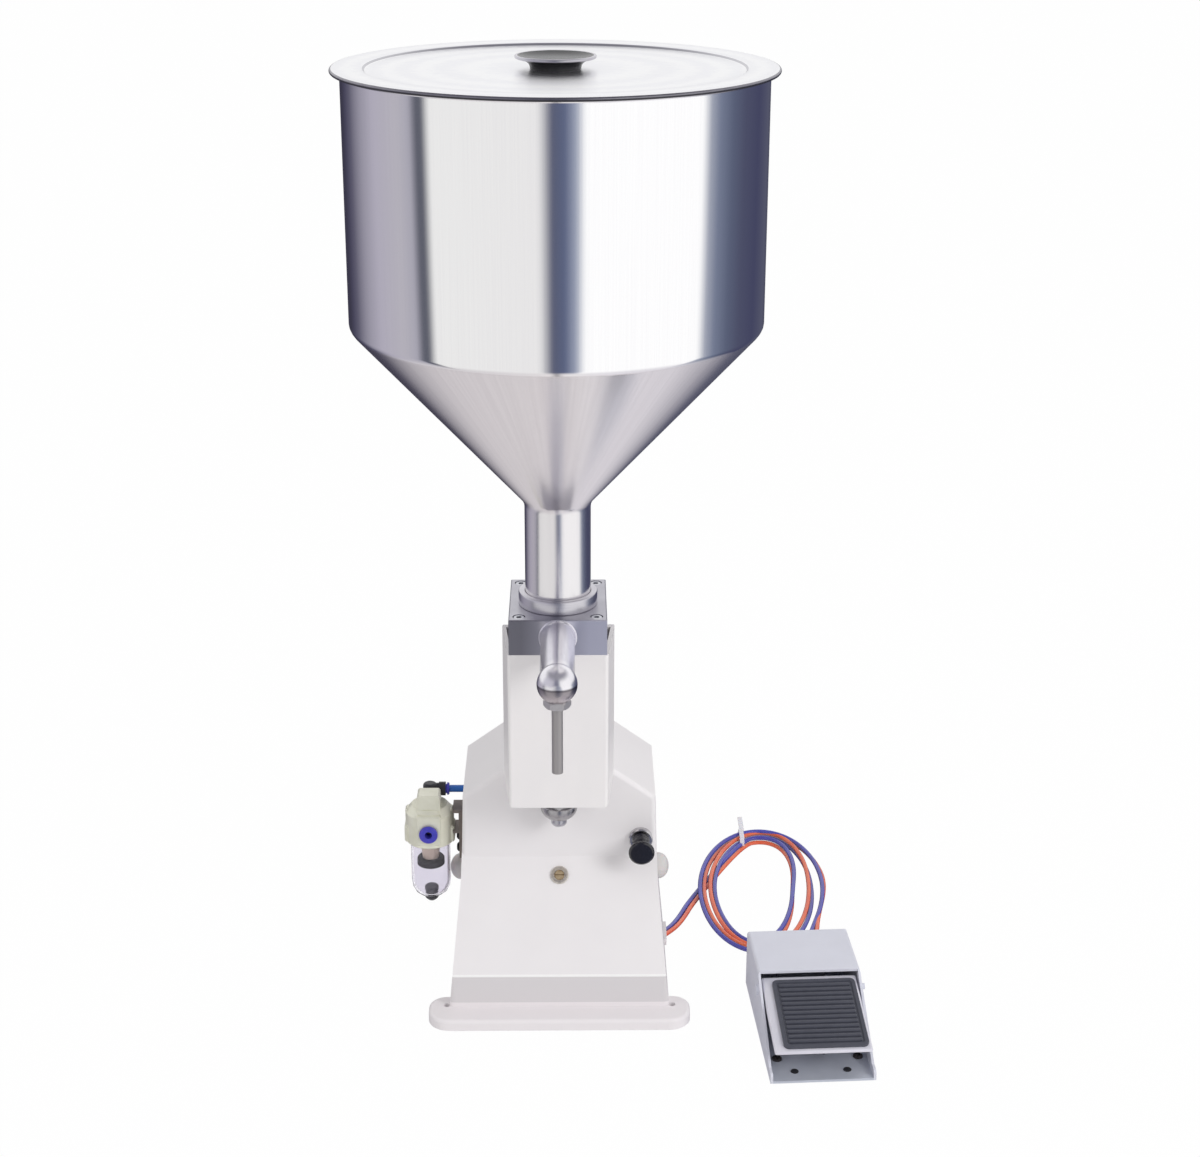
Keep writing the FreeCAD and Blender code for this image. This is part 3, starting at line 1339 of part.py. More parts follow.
outlet_spring_start = outlet_ball_y() - spring_contact(outlet_ball_r)
save("outlet_spring", coil_spring(point(0, outlet_spring_start, outlet_z), V(0, -1, 0), outlet_ball_r * 0.72,
                                  outlet_spring_length, 6, spring_wire_r))
save("nozzle_nut", make_nozzle_nut())
save("nozzle_tube", make_nozzle_tube())
save("material_cylinder", make_material_cylinder())
save("cylinder_flange", make_cylinder_flange())
save("air_cylinder_barrel", make_air_barrel())
save("air_cylinder_end", make_air_end())
save("tie_rods", make_tie_rods())
save("piston", make_piston())
save("piston_seals", make_piston_seals())
save("piston_rod", make_piston_rod())
save("air_piston", make_air_piston())
save("stroke_nut", make_stroke_nut())
save("push_in_fittings", make_push_in_fittings())
save("main_air_valve", make_main_air_valve())
save("hand_valve_body", make_hand_valve_body())
save("hand_valve_knob", make_hand_valve_knob())
save("speed_bezel", make_speed_bezel())
save("speed_screw", make_speed_screw())
save("side_caps", make_side_caps())
save("filter_bracket", make_filter_bracket())
save("filter_head", make_filter_head())
save("filter_bowl", make_filter_bowl())
save("filter_element", make_filter_element())
save("filter_baffle", make_filter_baffle())
save("drain_knob", make_drain_knob())
save("inlet_release_ring", make_inlet_release_ring())
save("elbow_fitting", make_elbow_fitting())
save("elbow_release_ring", make_elbow_release_ring())
save("filter_tube", make_filter_tube())
save("pedal_base", make_pedal_base())
save("pedal_cover", make_pedal_cover())
save("pedal_treadle", make_pedal_treadle())
save("treadle_pad", make_treadle_pad())
save("pedal_pin", make_pedal_pin())
save("pedal_spring", make_pedal_spring())
save("pedal_valve", make_pedal_valve())
save("pedal_plunger", make_pedal_plunger())
save("tube_grommet", make_tube_grommet())
save("air_tube_lead_blue", tube("air_tube_lead_blue", lead_points(-1)))
save("air_tube_lead_orange", tube("air_tube_lead_orange", lead_points(1)))
save("air_tube_coil", make_tube_coil())
save("air_tube_tail_blue", tube("air_tube_tail_blue", tail_points(left_tail, pedal_port_x()[0])))
save("air_tube_tail_orange", tube("air_tube_tail_orange", tail_points(right_tail, pedal_port_x()[1])))
save("cable_tie", make_cable_tie())
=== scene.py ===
import math

import bpy
import bmesh
from mathutils import Matrix, Vector


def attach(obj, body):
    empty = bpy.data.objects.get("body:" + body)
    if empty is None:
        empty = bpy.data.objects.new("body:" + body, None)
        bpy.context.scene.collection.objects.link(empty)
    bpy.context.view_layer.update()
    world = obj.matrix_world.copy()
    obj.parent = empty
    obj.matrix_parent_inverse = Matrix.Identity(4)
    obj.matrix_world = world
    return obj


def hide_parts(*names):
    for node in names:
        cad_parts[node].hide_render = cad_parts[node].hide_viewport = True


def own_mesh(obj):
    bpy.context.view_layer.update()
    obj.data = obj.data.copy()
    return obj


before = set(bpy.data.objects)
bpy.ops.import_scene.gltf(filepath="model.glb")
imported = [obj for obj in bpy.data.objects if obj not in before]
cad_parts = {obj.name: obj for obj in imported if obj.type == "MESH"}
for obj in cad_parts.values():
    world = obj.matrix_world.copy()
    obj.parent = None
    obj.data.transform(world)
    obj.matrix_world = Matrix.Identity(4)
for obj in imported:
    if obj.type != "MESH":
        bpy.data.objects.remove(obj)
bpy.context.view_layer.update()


# Camera
# It stands in front of the machine at the height of the hopper and looks down at the whole of it,
# through a lens a little longer than normal.
bpy.ops.object.select_all(action="DESELECT")
bpy.ops.object.camera_add(location=(0.01165, -1.5248, 0.9547))
camera = bpy.context.object
turn = Matrix.Rotation(math.radians(-0.77), 3, "Z")
tilt = Matrix.Rotation(math.radians(90.0 - 20.6), 3, "X")
roll = Matrix.Rotation(math.radians(0.16), 3, "Z")
camera.rotation_euler = (turn @ tilt @ roll).to_euler()
camera.data.sensor_width = 36.0
camera.data.lens = 64.55
camera.data.clip_end = 60.0
bpy.context.scene.camera = camera
bpy.context.scene.view_settings.view_transform = "Standard"


# Studio
# A white room with a large soft lamp in front and above. Steel also mirrors three dark drapes of the
# studio: one at the camera and one at each side behind the machine.
def linear(code):
    """An sRGB hex colour as linear values."""
    values = [int(code[i:i + 2], 16) / 255.0 for i in (0, 2, 4)]
    return [v / 12.92 if v <= 0.04045 else ((v + 0.055) / 1.055) ** 2.4 for v in values] + [1.0]


def node(tree, kind, settings=None, links=None):
    """Add a shader node, set its properties and input values, and link its inputs."""
    made = tree.nodes.new(kind)
    for name, value in (settings or {}).items():
        if isinstance(name, int) or name in made.inputs:
            made.inputs[name].default_value = value
        else:
            setattr(made, name, value)
    for name, source in (links or {}).items():
        tree.links.new(source, made.inputs[name])
    return made


world = bpy.data.worlds.new("studio_room")
bpy.context.scene.world = world
world.use_nodes = True
room = world.node_tree
room.nodes.clear()
way = node(room, "ShaderNodeTexCoord")
parts = node(room, "ShaderNodeSeparateXYZ", links={"Vector": way.outputs["Generated"]})
minus_y = node(room, "ShaderNodeMath", {"operation": "MULTIPLY", 1: -1.0}, {0: parts.outputs["Y"]})
bearing = node(room, "ShaderNodeMath", {"operation": "ARCTAN2"}, {0: parts.outputs["X"], 1: minus_y.outputs[0]})
share = node(room, "ShaderNodeMath", {"operation": "MULTIPLY_ADD", 1: 0.5 / math.pi, 2: 0.5}, {0: bearing.outputs[0]})
drapes = node(room, "ShaderNodeValToRGB", links={"Fac": share.outputs[0]})
stops = [(-180, "3c3a4c"), (-158, "3a3848"), (-150, "464458"), (-141, "5c5a6c"), (-126, "94919f"), (-112, "aeaab8"),
         (-92, "b4b1ba"), (-83, "a8a6b2"), (-78, "5a5c68"), (-74, "5a5c68"), (-69, "eaeae9"), (-9, "e8e7e7"), (-2,
                 "575b71"),
         (5, "5a6380"), (11, "9aa1b4"), (16, "ffffff"), (84, "ffffff"), (90, "9ea3b2"), (97, "737b91"), (108, "596077"),
         (120, "4c4f67"), (138, "434560"), (158, "54566a"), (180, "3c3a4c")]
high_stops = [(-180, "fbfbfc"), (-100, "f4f4f6"), (-80, "c9c8d2"), (-25, "c4c2cc"), (-12, "6f7082"), (8, "62667c"),
              (20, "fdfdfd"),
              (80, "fdfdfd"), (100, "f4f4f6"), (180, "fbfbfc")]


def fill_ramp(ramp, places):
    """Set a colour ramp's stops from bearings in degrees."""
    for place, code in places[1:-1]:
        element = ramp.elements.new((place + 180) / 360.0)
        element.color = linear(code)
    ramp.elements[0].color = linear(places[0][1])
    ramp.elements[-1].color = linear(places[-1][1])


def blended(tree, amount, first, second):
    """Mix two colours, each a socket or a hex code, by a factor socket."""
    made = node(tree, "ShaderNodeMix", {"data_type": "RGBA"}, {0: amount})
    for place, colour in ((6, first), (7, second)):
        if isinstance(colour, str):
            made.inputs[place].default_value = linear(colour)
        else:
            tree.links.new(colour, made.inputs[place])
    return made.outputs[2]


fill_ramp(drapes.color_ramp, stops)
upper = node(room, "ShaderNodeValToRGB", links={"Fac": share.outputs[0]})
fill_ramp(upper.color_ramp, high_stops)
across = node(room, "ShaderNodeMath", {"operation": "MULTIPLY_ADD", 1: 0.5, 2: 0.5}, {0: parts.outputs["X"]})
ground = node(room, "ShaderNodeValToRGB", links={"Fac": across.outputs[0]})
fill_ramp(ground.color_ramp, [(-180, "c8c5c8"), (-60, "d8d4d6"), (-20, "dedadb"), (-7, "e4dfe0"), (0, "8f8c90"), (8,
        "e0dcdd"),
                             (20, "e6e3e4"), (60, "e2dfe4"), (180, "d4d2d8")])
steep = node(room, "ShaderNodeMapRange", {"From Min": -0.54, "From Max": -0.82}, {"Value": parts.outputs["Z"]})
above = node(room, "ShaderNodeMapRange", {"From Min": 0.0, "From Max": 0.07}, {"Value": parts.outputs["Z"]})
ceiling = node(room, "ShaderNodeMapRange", {"From Min": 0.55, "From Max": 0.8}, {"Value": parts.outputs["Z"]})
low_part = blended(room, steep.outputs[0], drapes.outputs["Color"], ground.outputs["Color"])
wall_part = blended(room, above.outputs[0], low_part, upper.outputs["Color"])
mirrored = blended(room, ceiling.outputs[0], wall_part, "8e8d96")
rays = node(room, "ShaderNodeLightPath")
shine = node(room, "ShaderNodeBackground", {"Strength": 1.03}, {"Color": mirrored})
plain = node(room, "ShaderNodeBackground", {"Color": linear("ffffff"), "Strength": 0.67})
white = node(room, "ShaderNodeBackground", {"Color": linear("ffffff"), "Strength": 1.0})
first = node(room, "ShaderNodeMixShader", links={0: rays.outputs["Is Glossy Ray"], 1: plain.outputs[0],
                                                 2: shine.outputs[0]})
seen = node(room, "ShaderNodeMath", {"operation": "MAXIMUM"}, {0: rays.outputs["Is Camera Ray"],
                                                               1: rays.outputs["Is Transmission Ray"]})
second = node(room, "ShaderNodeMixShader", links={0: seen.outputs[0], 1: first.outputs[0], 2: white.outputs[0]})
node(room, "ShaderNodeOutputWorld", links={"Surface": second.outputs[0]})


def lamp(name, size, power, place, aim):
    """A square soft lamp that faces a point."""
    bpy.ops.object.light_add(type="AREA", location=place)
    made = bpy.context.object
    made.name = name
    made.data.size = size
    made.data.energy = power
    made.rotation_euler = (Vector(place) - Vector(aim)).to_track_quat("Z", "Y").to_euler()
    made.visible_glossy = False
    return made


lamp("front_lamp", 1.2, 36.0, (2.1, -1.9, 1.7), (0, 0, 0.2))
lamp("left_lamp", 1.6, 8.0, (-2.2, -1.2, 1.6), (0, 0, 0.3))

bpy.ops.mesh.primitive_plane_add(size=40, location=(0, 0, -0.0002))
floor = bpy.context.object
floor.name = "floor"
floor.visible_glossy = False
paper = bpy.data.materials.new("matt_paper_sweep")
paper.use_nodes = True
tree = paper.node_tree
tree.nodes.clear()
matt = node(tree, "ShaderNodeBsdfDiffuse", {"Color": linear("e8e8e8")})
glow = node(tree, "ShaderNodeEmission", {"Color": linear("ffffff"), "Strength": 1.0})
way_in = node(tree, "ShaderNodeLightPath")
straight = node(tree, "ShaderNodeMath", {"operation": "MAXIMUM"}, {0: way_in.outputs["Is Camera Ray"],
                                                                   1: way_in.outputs["Is Transmission Ray"]})
amount = node(tree, "ShaderNodeMath", {"operation": "MULTIPLY", 1: 0.985}, {0: straight.outputs[0]})
both = node(tree, "ShaderNodeMixShader", links={0: amount.outputs[0], 1: matt.outputs[0], 2: glow.outputs[0]})
node(tree, "ShaderNodeOutputMaterial", links={"Surface": both.outputs[0]})
floor.data.materials.append(paper)


# Air tubes to the pedal
# Two 4 mm polyurethane tubes, blue and orange, run as a loosely twisted pair. They leave the base through a
# rubber grommet, make two and a half turns on the floor, held by one tie, and plug into the pedal's back.
tube_r = 0.002
hopper_y = 0.041
lead = [(85.0, 63.0, 12.0), (92.5, 76.0, 9.5), (100.5, 92.0, 6.5), (108.5, 115.0, 3.2), (117.5, 142.0, 2.3)]
lead_side = 2.2
tails = {"blue": [(220.8, 88.0, 4.8), (215.2, 69.0, 5.4), (206.5, 50.5, 7.5), (193.3, 37.0, 12.0), (188.8, 28.4,
        13.8), (187.33, 19.56, 14.0)],
         "orange": [(227.0, 104.0, 5.0), (224.0, 81.0, 5.8), (216.5, 57.5, 8.2), (210.3, 39.5, 12.3), (207.30,
                 20.60, 14.0)]}
half_widths = [56.5, 30.0, 44.0, 46.0, 54.0, 58.5, 58.5]
half_depths = [98.0, 98.0, 101.0, 111.0, 106.0, 110.0, 110.0]
heights = [2.2, 2.2, 2.2, 3.0, 6.4, 3.6, 2.4, 3.0, 6.4, 4.4, 3.4, 4.6, 5.0]


def between(values, place):
    """A value read between the entries of a list."""
    low = min(int(place), len(values) - 2)
    return values[low] + (values[low + 1] - values[low]) * (place - low)


coil_centre, coil_turns, coil_lean, pair_spacing = (180.5, 160.0), 2.6, -6.0, 2.15


def coil_points(side):
    """One tube's turns: the pair's middle line, with the tube to one side of it and slowly twisting round it."""
    points = []
    steps = 42
    for i in range(1, steps):
        turns = coil_turns * i / steps
        angle = math.pi - 2 * math.pi * turns
        wide = between(half_widths, 2 * turns)
        deep = between(half_depths, 2 * turns)
        lean = math.radians(coil_lean)
        out = Vector((math.cos(angle) * wide, math.sin(angle) * deep, 0))
        spot = Matrix.Rotation(lean, 3, "Z") @ out
        across = (Matrix.Rotation(lean, 3, "Z") @ Vector((math.cos(angle) / wide, math.sin(angle) / deep,
                                                          0))).normalized()
        twist = math.radians(200.0 * turns + 14.0 * math.sin(9.0 * turns))
        base = between(heights, 4 * turns)
        wobble = 0.8 * math.sin(5.3 * turns + 1.0)
        shift = side * pair_spacing * math.cos(twist) + wobble
        rise = side * pair_spacing * math.sin(twist) + pair_spacing * abs(math.sin(twist))
        points.append((coil_centre[0] + spot.x + across.x * shift, coil_centre[1] + spot.y + across.y * shift,
                       base + rise))
    return points


def tube_material(name, code, dark):
    """Extruded polyurethane: a glossy, slightly clear skin with a little colour change along the tube."""
    made = bpy.data.materials.new(name)
    made.use_nodes = True
    tree = made.node_tree
    skin = tree.nodes["Principled BSDF"]
    place = node(tree, "ShaderNodeTexCoord")
    cloud = node(tree, "ShaderNodeTexNoise", {"Scale": 60.0, "Detail": 3.0}, {"Vector": place.outputs["Object"]})
    shade = node(tree, "ShaderNodeMix", {"data_type": "RGBA"}, {0: cloud.outputs["Fac"]})
    shade.inputs[6].default_value = linear(code)
    shade.inputs[7].default_value = linear(dark)
    tree.links.new(shade.outputs[2], skin.inputs["Base Color"])
    skin.inputs["Roughness"].default_value = 0.24
    skin.inputs["IOR"].default_value = 1.49
    skin.inputs["Coat Weight"].default_value = 0.35
    skin.inputs["Coat Roughness"].default_value = 0.12
    return made


tube_skins = {"blue": tube_material("blue_polyurethane", "5a5cc0", "42389a"),
              "orange": tube_material("orange_polyurethane", "fa8452", "dd4a34")}
for colour, side in (("blue", -1), ("orange", 1)):
    lead_part = [(x + side * lead_side * 0.89, y - side * lead_side * 0.45, z) for x, y, z in lead]
    turns_part = coil_points(-side)
    if colour == "orange":
        turns_part = turns_part[:-1]
    route = lead_part + turns_part[2:] + tails[colour]
    curve = bpy.data.curves.new("air_tube_" + colour, "CURVE")
    curve.dimensions = "3D"
    curve.bevel_depth = tube_r
    curve.bevel_resolution = 5
    curve.resolution_u = 10
    curve.use_fill_caps = True
    spline = curve.splines.new("NURBS")
    spline.points.add(len(route) - 1)
    for point, (x, y, z) in zip(spline.points, route):
        point.co = (x / 1000.0, y / 1000.0 + hopper_y, z / 1000.0, 1.0)
    spline.order_u = 3
    spline.use_endpoint_u = True
    tube = bpy.data.objects.new("tube_" + colour, curve)
    bpy.context.collection.objects.link(tube)
    curve.materials.append(tube_skins[colour])
    if colour == "blue":
        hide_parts("air_tube_lead_blue", "air_tube_tail_blue", "air_tube_coil")
    else:
        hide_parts("air_tube_lead_orange", "air_tube_tail_orange")
    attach(tube, "frame")
    tube.visible_glossy = False

# Body casting, rear cover and tube grommet
# One aluminium sand casting, open underneath, with a bolted flange at the front and the back. It is coated
# in white enamel: a soft gloss with a faint orange peel and a slightly uneven white. Its plinth carries painted
# shade, and the ramp's lower edge a painted highlight.
def start_finish(name):
    """A new material, its shader and the object's own coordinates for its patterns."""
    made = bpy.data.materials.new(name)
    made.use_nodes = True
    tree = made.node_tree
    place = node(tree, "ShaderNodeTexCoord")
    return made, tree, tree.nodes["Principled BSDF"], place.outputs["Object"]


def set_skin(skin, roughness, metallic=0.0, **others):
    """Set a shader's constants by their names."""
    skin.inputs["Roughness"].default_value = roughness
    skin.inputs["Metallic"].default_value = metallic
    for name, value in others.items():
        skin.inputs[name.replace("_", " ")].default_value = value


def stretched(tree, place, scale):
    """Coordinates scaled differently along each axis."""
    return node(tree, "ShaderNodeMapping", {"Scale": scale}, {"Vector": place}).outputs[0]


def cloudy(tree, skin, place, scale, first, second, detail=3.0):
    """Let the base colour drift between two tones; scale is in clouds per metre."""
    cloud = node(tree, "ShaderNodeTexNoise", {"Scale": scale, "Detail": detail}, {"Vector": place})
    tree.links.new(blended(tree, cloud.outputs["Fac"], first, second), skin.inputs["Base Color"])


def grained(tree, skin, place, scale, height, detail=2.0):
    """Bump the surface with a grain; scale is in grains per metre and height in metres."""
    grain = node(tree, "ShaderNodeTexNoise", {"Scale": scale, "Detail": detail}, {"Vector": place})
    bump = node(tree, "ShaderNodeBump", {"Distance": height, "Strength": 1.0}, {"Height": grain.outputs["Fac"]})
    tree.links.new(bump.outputs[0], skin.inputs["Normal"])


def dress(finish, *names):
    """Give CAD nodes a finish."""
    for name in names:
        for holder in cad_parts[name].material_slots:
            holder.material = finish


enamel, tree, skin, place = start_finish("white_enamel_with_painted_shade")
spot = node(tree, "ShaderNodeSeparateXYZ", links={"Vector": place})
cloud = node(tree, "ShaderNodeTexNoise", {"Scale": 14.0, "Detail": 3.0}, {"Vector": place})
# Painted shade: below 37 mm, on the plinth under the ramp, the enamel is coloured darker.
plinth_painted_shade = node(tree, "ShaderNodeMapRange", {"From Min": 0.0368, "From Max": 0.0382}, {"Value": spot.outputs["Z"]})
# Painted highlight: a thin lighter line along the ramp's lower edge, at 38 mm.
edge = node(tree, "ShaderNodeMath", {"operation": "COMPARE", 1: 0.0380, 2: 0.0009}, {0: spot.outputs["Z"]})
# The flange, below 13.5 mm, keeps a plain enamel colour instead of the painted shade.
flange = node(tree, "ShaderNodeMath", {"operation": "LESS_THAN", 1: 0.0135}, {0: spot.outputs["Z"]})
coat = blended(tree, cloud.outputs["Fac"], "f3f0f1", "ebe7e9")
coat = blended(tree, plinth_painted_shade.outputs[0], "dcd8da", coat)
coat = blended(tree, edge.outputs[0], coat, "fbfafa")
tree.links.new(blended(tree, flange.outputs[0], coat, "f0ebed"), skin.inputs["Base Color"])
grained(tree, skin, place, 420.0, 0.00003)   # orange peel about 2.4 mm apart
set_skin(skin, 0.42, IOR=1.5, Coat_Weight=0.12, Coat_Roughness=0.25)
dress(enamel, "body_casting", "rear_cover", "tube_grommet")


# Front housing
# A drafted cover over the two cylinders, cast and coated like the body, a shade warmer at the front.
cover_enamel, tree, skin, place = start_finish("white_enamel_on_cover")
cloudy(tree, skin, stretched(tree, place, (1, 1, 0.35)), 30.0, "f4f0f0", "ebe8e9")
grained(tree, skin, place, 420.0, 0.00003)
set_skin(skin, 0.40, IOR=1.5, Coat_Weight=0.12, Coat_Roughness=0.25)
dress(cover_enamel, "front_housing")


# Screws of the rear cover, the bracket and the pedal
# Pan head machine screws in blackened steel: dark and slightly oily, brown where the light grazes them.
blackened, tree, skin, place = start_finish("blackened_steel_screw")
cloudy(tree, skin, place, 400.0, "55504f", "3b3839")
grained(tree, skin, place, 2500.0, 0.00001)
set_skin(skin, 0.42, 0.8)
dress(blackened, "machine_screws")


# Cylinders, pistons and main valve inside
# The material cylinder and piston are turned stainless, the air cylinder anodised aluminium with zinc plated
# tie rods, and the seals nitrile rubber. Fittings are nickelled brass.
turned_steel, tree, skin, place = start_finish("turned_stainless_steel")
cloudy(tree, skin, stretched(tree, place, (40, 40, 900)), 1.0, "d6d4da", "c2c0c8")
grained(tree, skin, stretched(tree, place, (60, 60, 2400)), 1.0, 0.000012)   # tool marks 0.4 mm apart
set_skin(skin, 0.26, 1.0)
dress(turned_steel, "material_cylinder", "piston", "valve_seats")

anodised, tree, skin, place = start_finish("anodised_aluminium")
cloudy(tree, skin, place, 90.0, "c4c4c8", "b4b4b9")
grained(tree, skin, place, 3000.0, 0.000008)
set_skin(skin, 0.45, 0.85)
dress(anodised, "cylinder_flange", "air_cylinder_barrel", "air_cylinder_end", "air_piston", "main_air_valve",
      "pedal_valve")

zinc, tree, skin, place = start_finish("zinc_plated_steel")
cloudy(tree, skin, place, 350.0, "dfe0e4", "c0c1c9")
set_skin(skin, 0.3, 1.0)
dress(zinc, "tie_rods", "block_screws")

rod_steel, tree, skin, place = start_finish("ground_rod_steel")
cloudy(tree, skin, stretched(tree, place, (100, 100, 1500)), 1.0, "bdbcc2", "aeadb4")
set_skin(skin, 0.26, 1.0)

seal_rubber, tree, skin, place = start_finish("nitrile_rubber_seal")
cloudy(tree, skin, place, 200.0, "26262a", "1c1c1f")
set_skin(skin, 0.5, IOR=1.5)
dress(seal_rubber, "piston_seals")

spring_wire, tree, skin, place = start_finish("drawn_spring_wire")
cloudy(tree, skin, place, 700.0, "a8a8ae", "8a8a92")
set_skin(skin, 0.28, 1.0)
dress(spring_wire, "inlet_spring", "outlet_spring", "pedal_spring")

nickelled, tree, skin, place = start_finish("nickelled_brass")
cloudy(tree, skin, place, 260.0, "c9bfa8", "a99c84")
grained(tree, skin, place, 1800.0, 0.000012)
set_skin(skin, 0.3, 1.0)
dress(nickelled, "push_in_fittings")


# Valve block
# A block of stainless with a ground face: fine lines run across its front and top, and the edges are chamfered.
# Its front face carries painted shade, dark at the left and bright at the right.
block_with_painted_shade, tree, skin, place = start_finish("ground_stainless_block_painted_shade")
spot = node(tree, "ShaderNodeSeparateXYZ", links={"Vector": place})
# Painted shade: the front face runs from dark grey at the left to near white at the right; the faces behind it keep the
# ground lines.
sides = node(tree, "ShaderNodeMapRange", {"From Min": -0.028, "From Max": 0.024}, {"Value": spot.outputs["X"]})
behind = node(tree, "ShaderNodeMapRange", {"From Min": 0.0016, "From Max": 0.0022}, {"Value": spot.outputs["Y"]})
front = blended(tree, sides.outputs[0], "98969c", "efeefa")
lines = node(tree, "ShaderNodeTexNoise", {"Scale": 1.0, "Detail": 3.0}, {"Vector": stretched(tree, place, (25, 25,
        1800))})
across_top = blended(tree, lines.outputs["Fac"], "d6d5db", "8f8d98")
tree.links.new(blended(tree, behind.outputs[0], front, across_top), skin.inputs["Base Color"])
grained(tree, skin, stretched(tree, place, (40, 700, 2200)), 1.0, 0.00001)
set_skin(skin, 0.3, 1.0)
dress(block_with_painted_shade, "valve_block")

chrome, tree, skin, place = start_finish("chromed_steel")
cloudy(tree, skin, place, 160.0, "dcdce0", "cfcfd5")
grained(tree, skin, place, 900.0, 0.000006)
set_skin(skin, 0.1, 1.0)
dress(chrome, "inlet_ball", "outlet_ball")


# Hopper
# 1.2 mm stainless sheet rolled into a drum, welded to a spun cone and a neck, with a rolled bead at the rim.
# The drum is polished along its height, so it mirrors the room in upright bands with fine upright lines; the
# cone is satin.
def arc(centre_r, centre_z, radius, start, end, steps):
    """Points of a round in a profile, from one angle to another."""
    angles = [math.radians(start + (end - start) * i / steps) for i in range(steps + 1)]
    return [(centre_r + radius * math.cos(a), centre_z + radius * math.sin(a)) for a in angles]


def turn_up(name, profile, sides, closed=False):
    """Turn up a round piece: a circle is extruded and sized from ring to ring; profile is (radius, height) in mm."""
    bpy.ops.object.select_all(action="DESELECT")
    bpy.ops.mesh.primitive_circle_add(vertices=sides, radius=profile[0][0] / 1000.0, location=(0, 0,
            profile[0][1] / 1000.0))
    piece = bpy.context.object
    piece.name = name
    bpy.ops.object.mode_set(mode="EDIT")
    bpy.ops.mesh.select_all(action="SELECT")
    for (r0, z0), (r1, z1) in zip(profile, profile[1:]):
        bpy.ops.mesh.extrude_region_move(TRANSFORM_OT_translate={"value": (0, 0, (z1 - z0) / 1000.0)})
        bpy.ops.transform.resize(value=(r1 / r0, r1 / r0, 1), center_override=(0, 0, z1 / 1000.0))
    bpy.ops.mesh.select_all(action="SELECT")
    if closed:
        bpy.ops.mesh.remove_doubles(threshold=0.000004)
    else:
        bpy.ops.mesh.fill_holes(sides=0)
    bpy.ops.mesh.normals_make_consistent(inside=False)
    bpy.ops.object.mode_set(mode="OBJECT")
    bpy.ops.object.transform_apply(location=True, rotation=True, scale=True)
    return piece


def set_in_place(piece, place, turn=None):
    """Turn and move a finished piece in its own mesh, so that its object stays at the origin."""
    bpy.ops.object.select_all(action="DESELECT")
    piece.select_set(True)
    bpy.context.view_layer.objects.active = piece
    if turn is not None:
        piece.rotation_euler = turn
    piece.location = place
    bpy.ops.object.transform_apply(location=True, rotation=True, scale=True)


def finish_piece(piece, material, body, slot_name, *nodes, angle=32.0):
    """Smooth a piece, give it its material and let it ride on a body in place of CAD nodes."""
    bpy.ops.object.select_all(action="DESELECT")
    piece.select_set(True)
    bpy.context.view_layer.objects.active = piece
    bpy.ops.object.shade_smooth_by_angle(angle=math.radians(angle))
    if not piece.data.materials:
        piece.data.materials.append(material)
    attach(piece, body)
    if nodes:
        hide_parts(*nodes)


def upright_lines(tree, place, pitch, radius):
    """Streaks that run up a round wall: a noise over the bearing round the hopper's axis."""
    centred = node(tree, "ShaderNodeMapping", {"Location": (0, -hopper_y, 0)}, {"Vector": place})
    spot = node(tree, "ShaderNodeSeparateXYZ", links={"Vector": centred.outputs[0]})
    bearing = node(tree, "ShaderNodeMath", {"operation": "ARCTAN2"}, {0: spot.outputs["X"], 1: spot.outputs["Y"]})
    streak = node(tree, "ShaderNodeTexNoise", {"noise_dimensions": "2D", "Scale": 1.0, "Detail": 4.0, "Roughness": 0.7})
    lay = node(tree, "ShaderNodeCombineXYZ")
    wide = node(tree, "ShaderNodeMath", {"operation": "MULTIPLY", 1: radius / pitch}, {0: bearing.outputs[0]})
    tall = node(tree, "ShaderNodeMath", {"operation": "MULTIPLY", 1: 3.0}, {0: spot.outputs["Z"]})
    tree.links.new(wide.outputs[0], lay.inputs["X"])
    tree.links.new(tall.outputs[0], lay.inputs["Y"])
    tree.links.new(lay.outputs[0], streak.inputs["Vector"])
    return streak.outputs["Fac"]


drum_r, drum_low, drum_high = 153.8, 570.8, 754.2
neck_r, cone_low, neck_foot = 25.5, 430.3, 341.4
sheet = 1.2
outside = [(neck_r, neck_foot), (neck_r, cone_low - 4.0), (neck_r + 0.35, cone_low - 1.6), (neck_r + 1.1,
        cone_low + 0.2),
           (neck_r + 2.2, cone_low + 2.0), (drum_r - 2.4, drum_low - 2.9), (drum_r - 1.1,
                                                                            drum_low - 1.1), (drum_r - 0.3,
                                                                                    drum_low + 0.7),
           (drum_r, drum_low + 2.6), (drum_r, drum_high - 1.2)]
bead = arc(drum_r + 1.1, drum_high, 1.6, -120, 180, 14)
inside = [(drum_r - sheet, drum_high - 1.6), (drum_r - sheet, drum_low + 0.6), (neck_r - 2.4, cone_low + 1.2),
          (neck_r - 2.4, neck_foot),
          (neck_r, neck_foot)]
polished, tree, skin, place = start_finish("polished_stainless_sheet")
streaks = upright_lines(tree, place, 0.0011, 0.1538)   # polishing lines about 1 mm apart
tree.links.new(blended(tree, streaks, "ffffff", "f6f5f7"), skin.inputs["Base Color"])
height = node(tree, "ShaderNodeBump", {"Distance": 0.000004, "Strength": 1.0}, {"Height": streaks})
tree.links.new(height.outputs[0], skin.inputs["Normal"])
set_skin(skin, 0.085, 1.0)

satin, tree, skin, place = start_finish("satin_stainless_cone")
streaks = upright_lines(tree, place, 0.0016, 0.09)
tree.links.new(blended(tree, streaks, "f7f5f6", "e6e3e5"), skin.inputs["Base Color"])
height = node(tree, "ShaderNodeBump", {"Distance": 0.00001, "Strength": 1.0}, {"Height": streaks})
tree.links.new(height.outputs[0], skin.inputs["Normal"])
set_skin(skin, 0.22, 1.0)

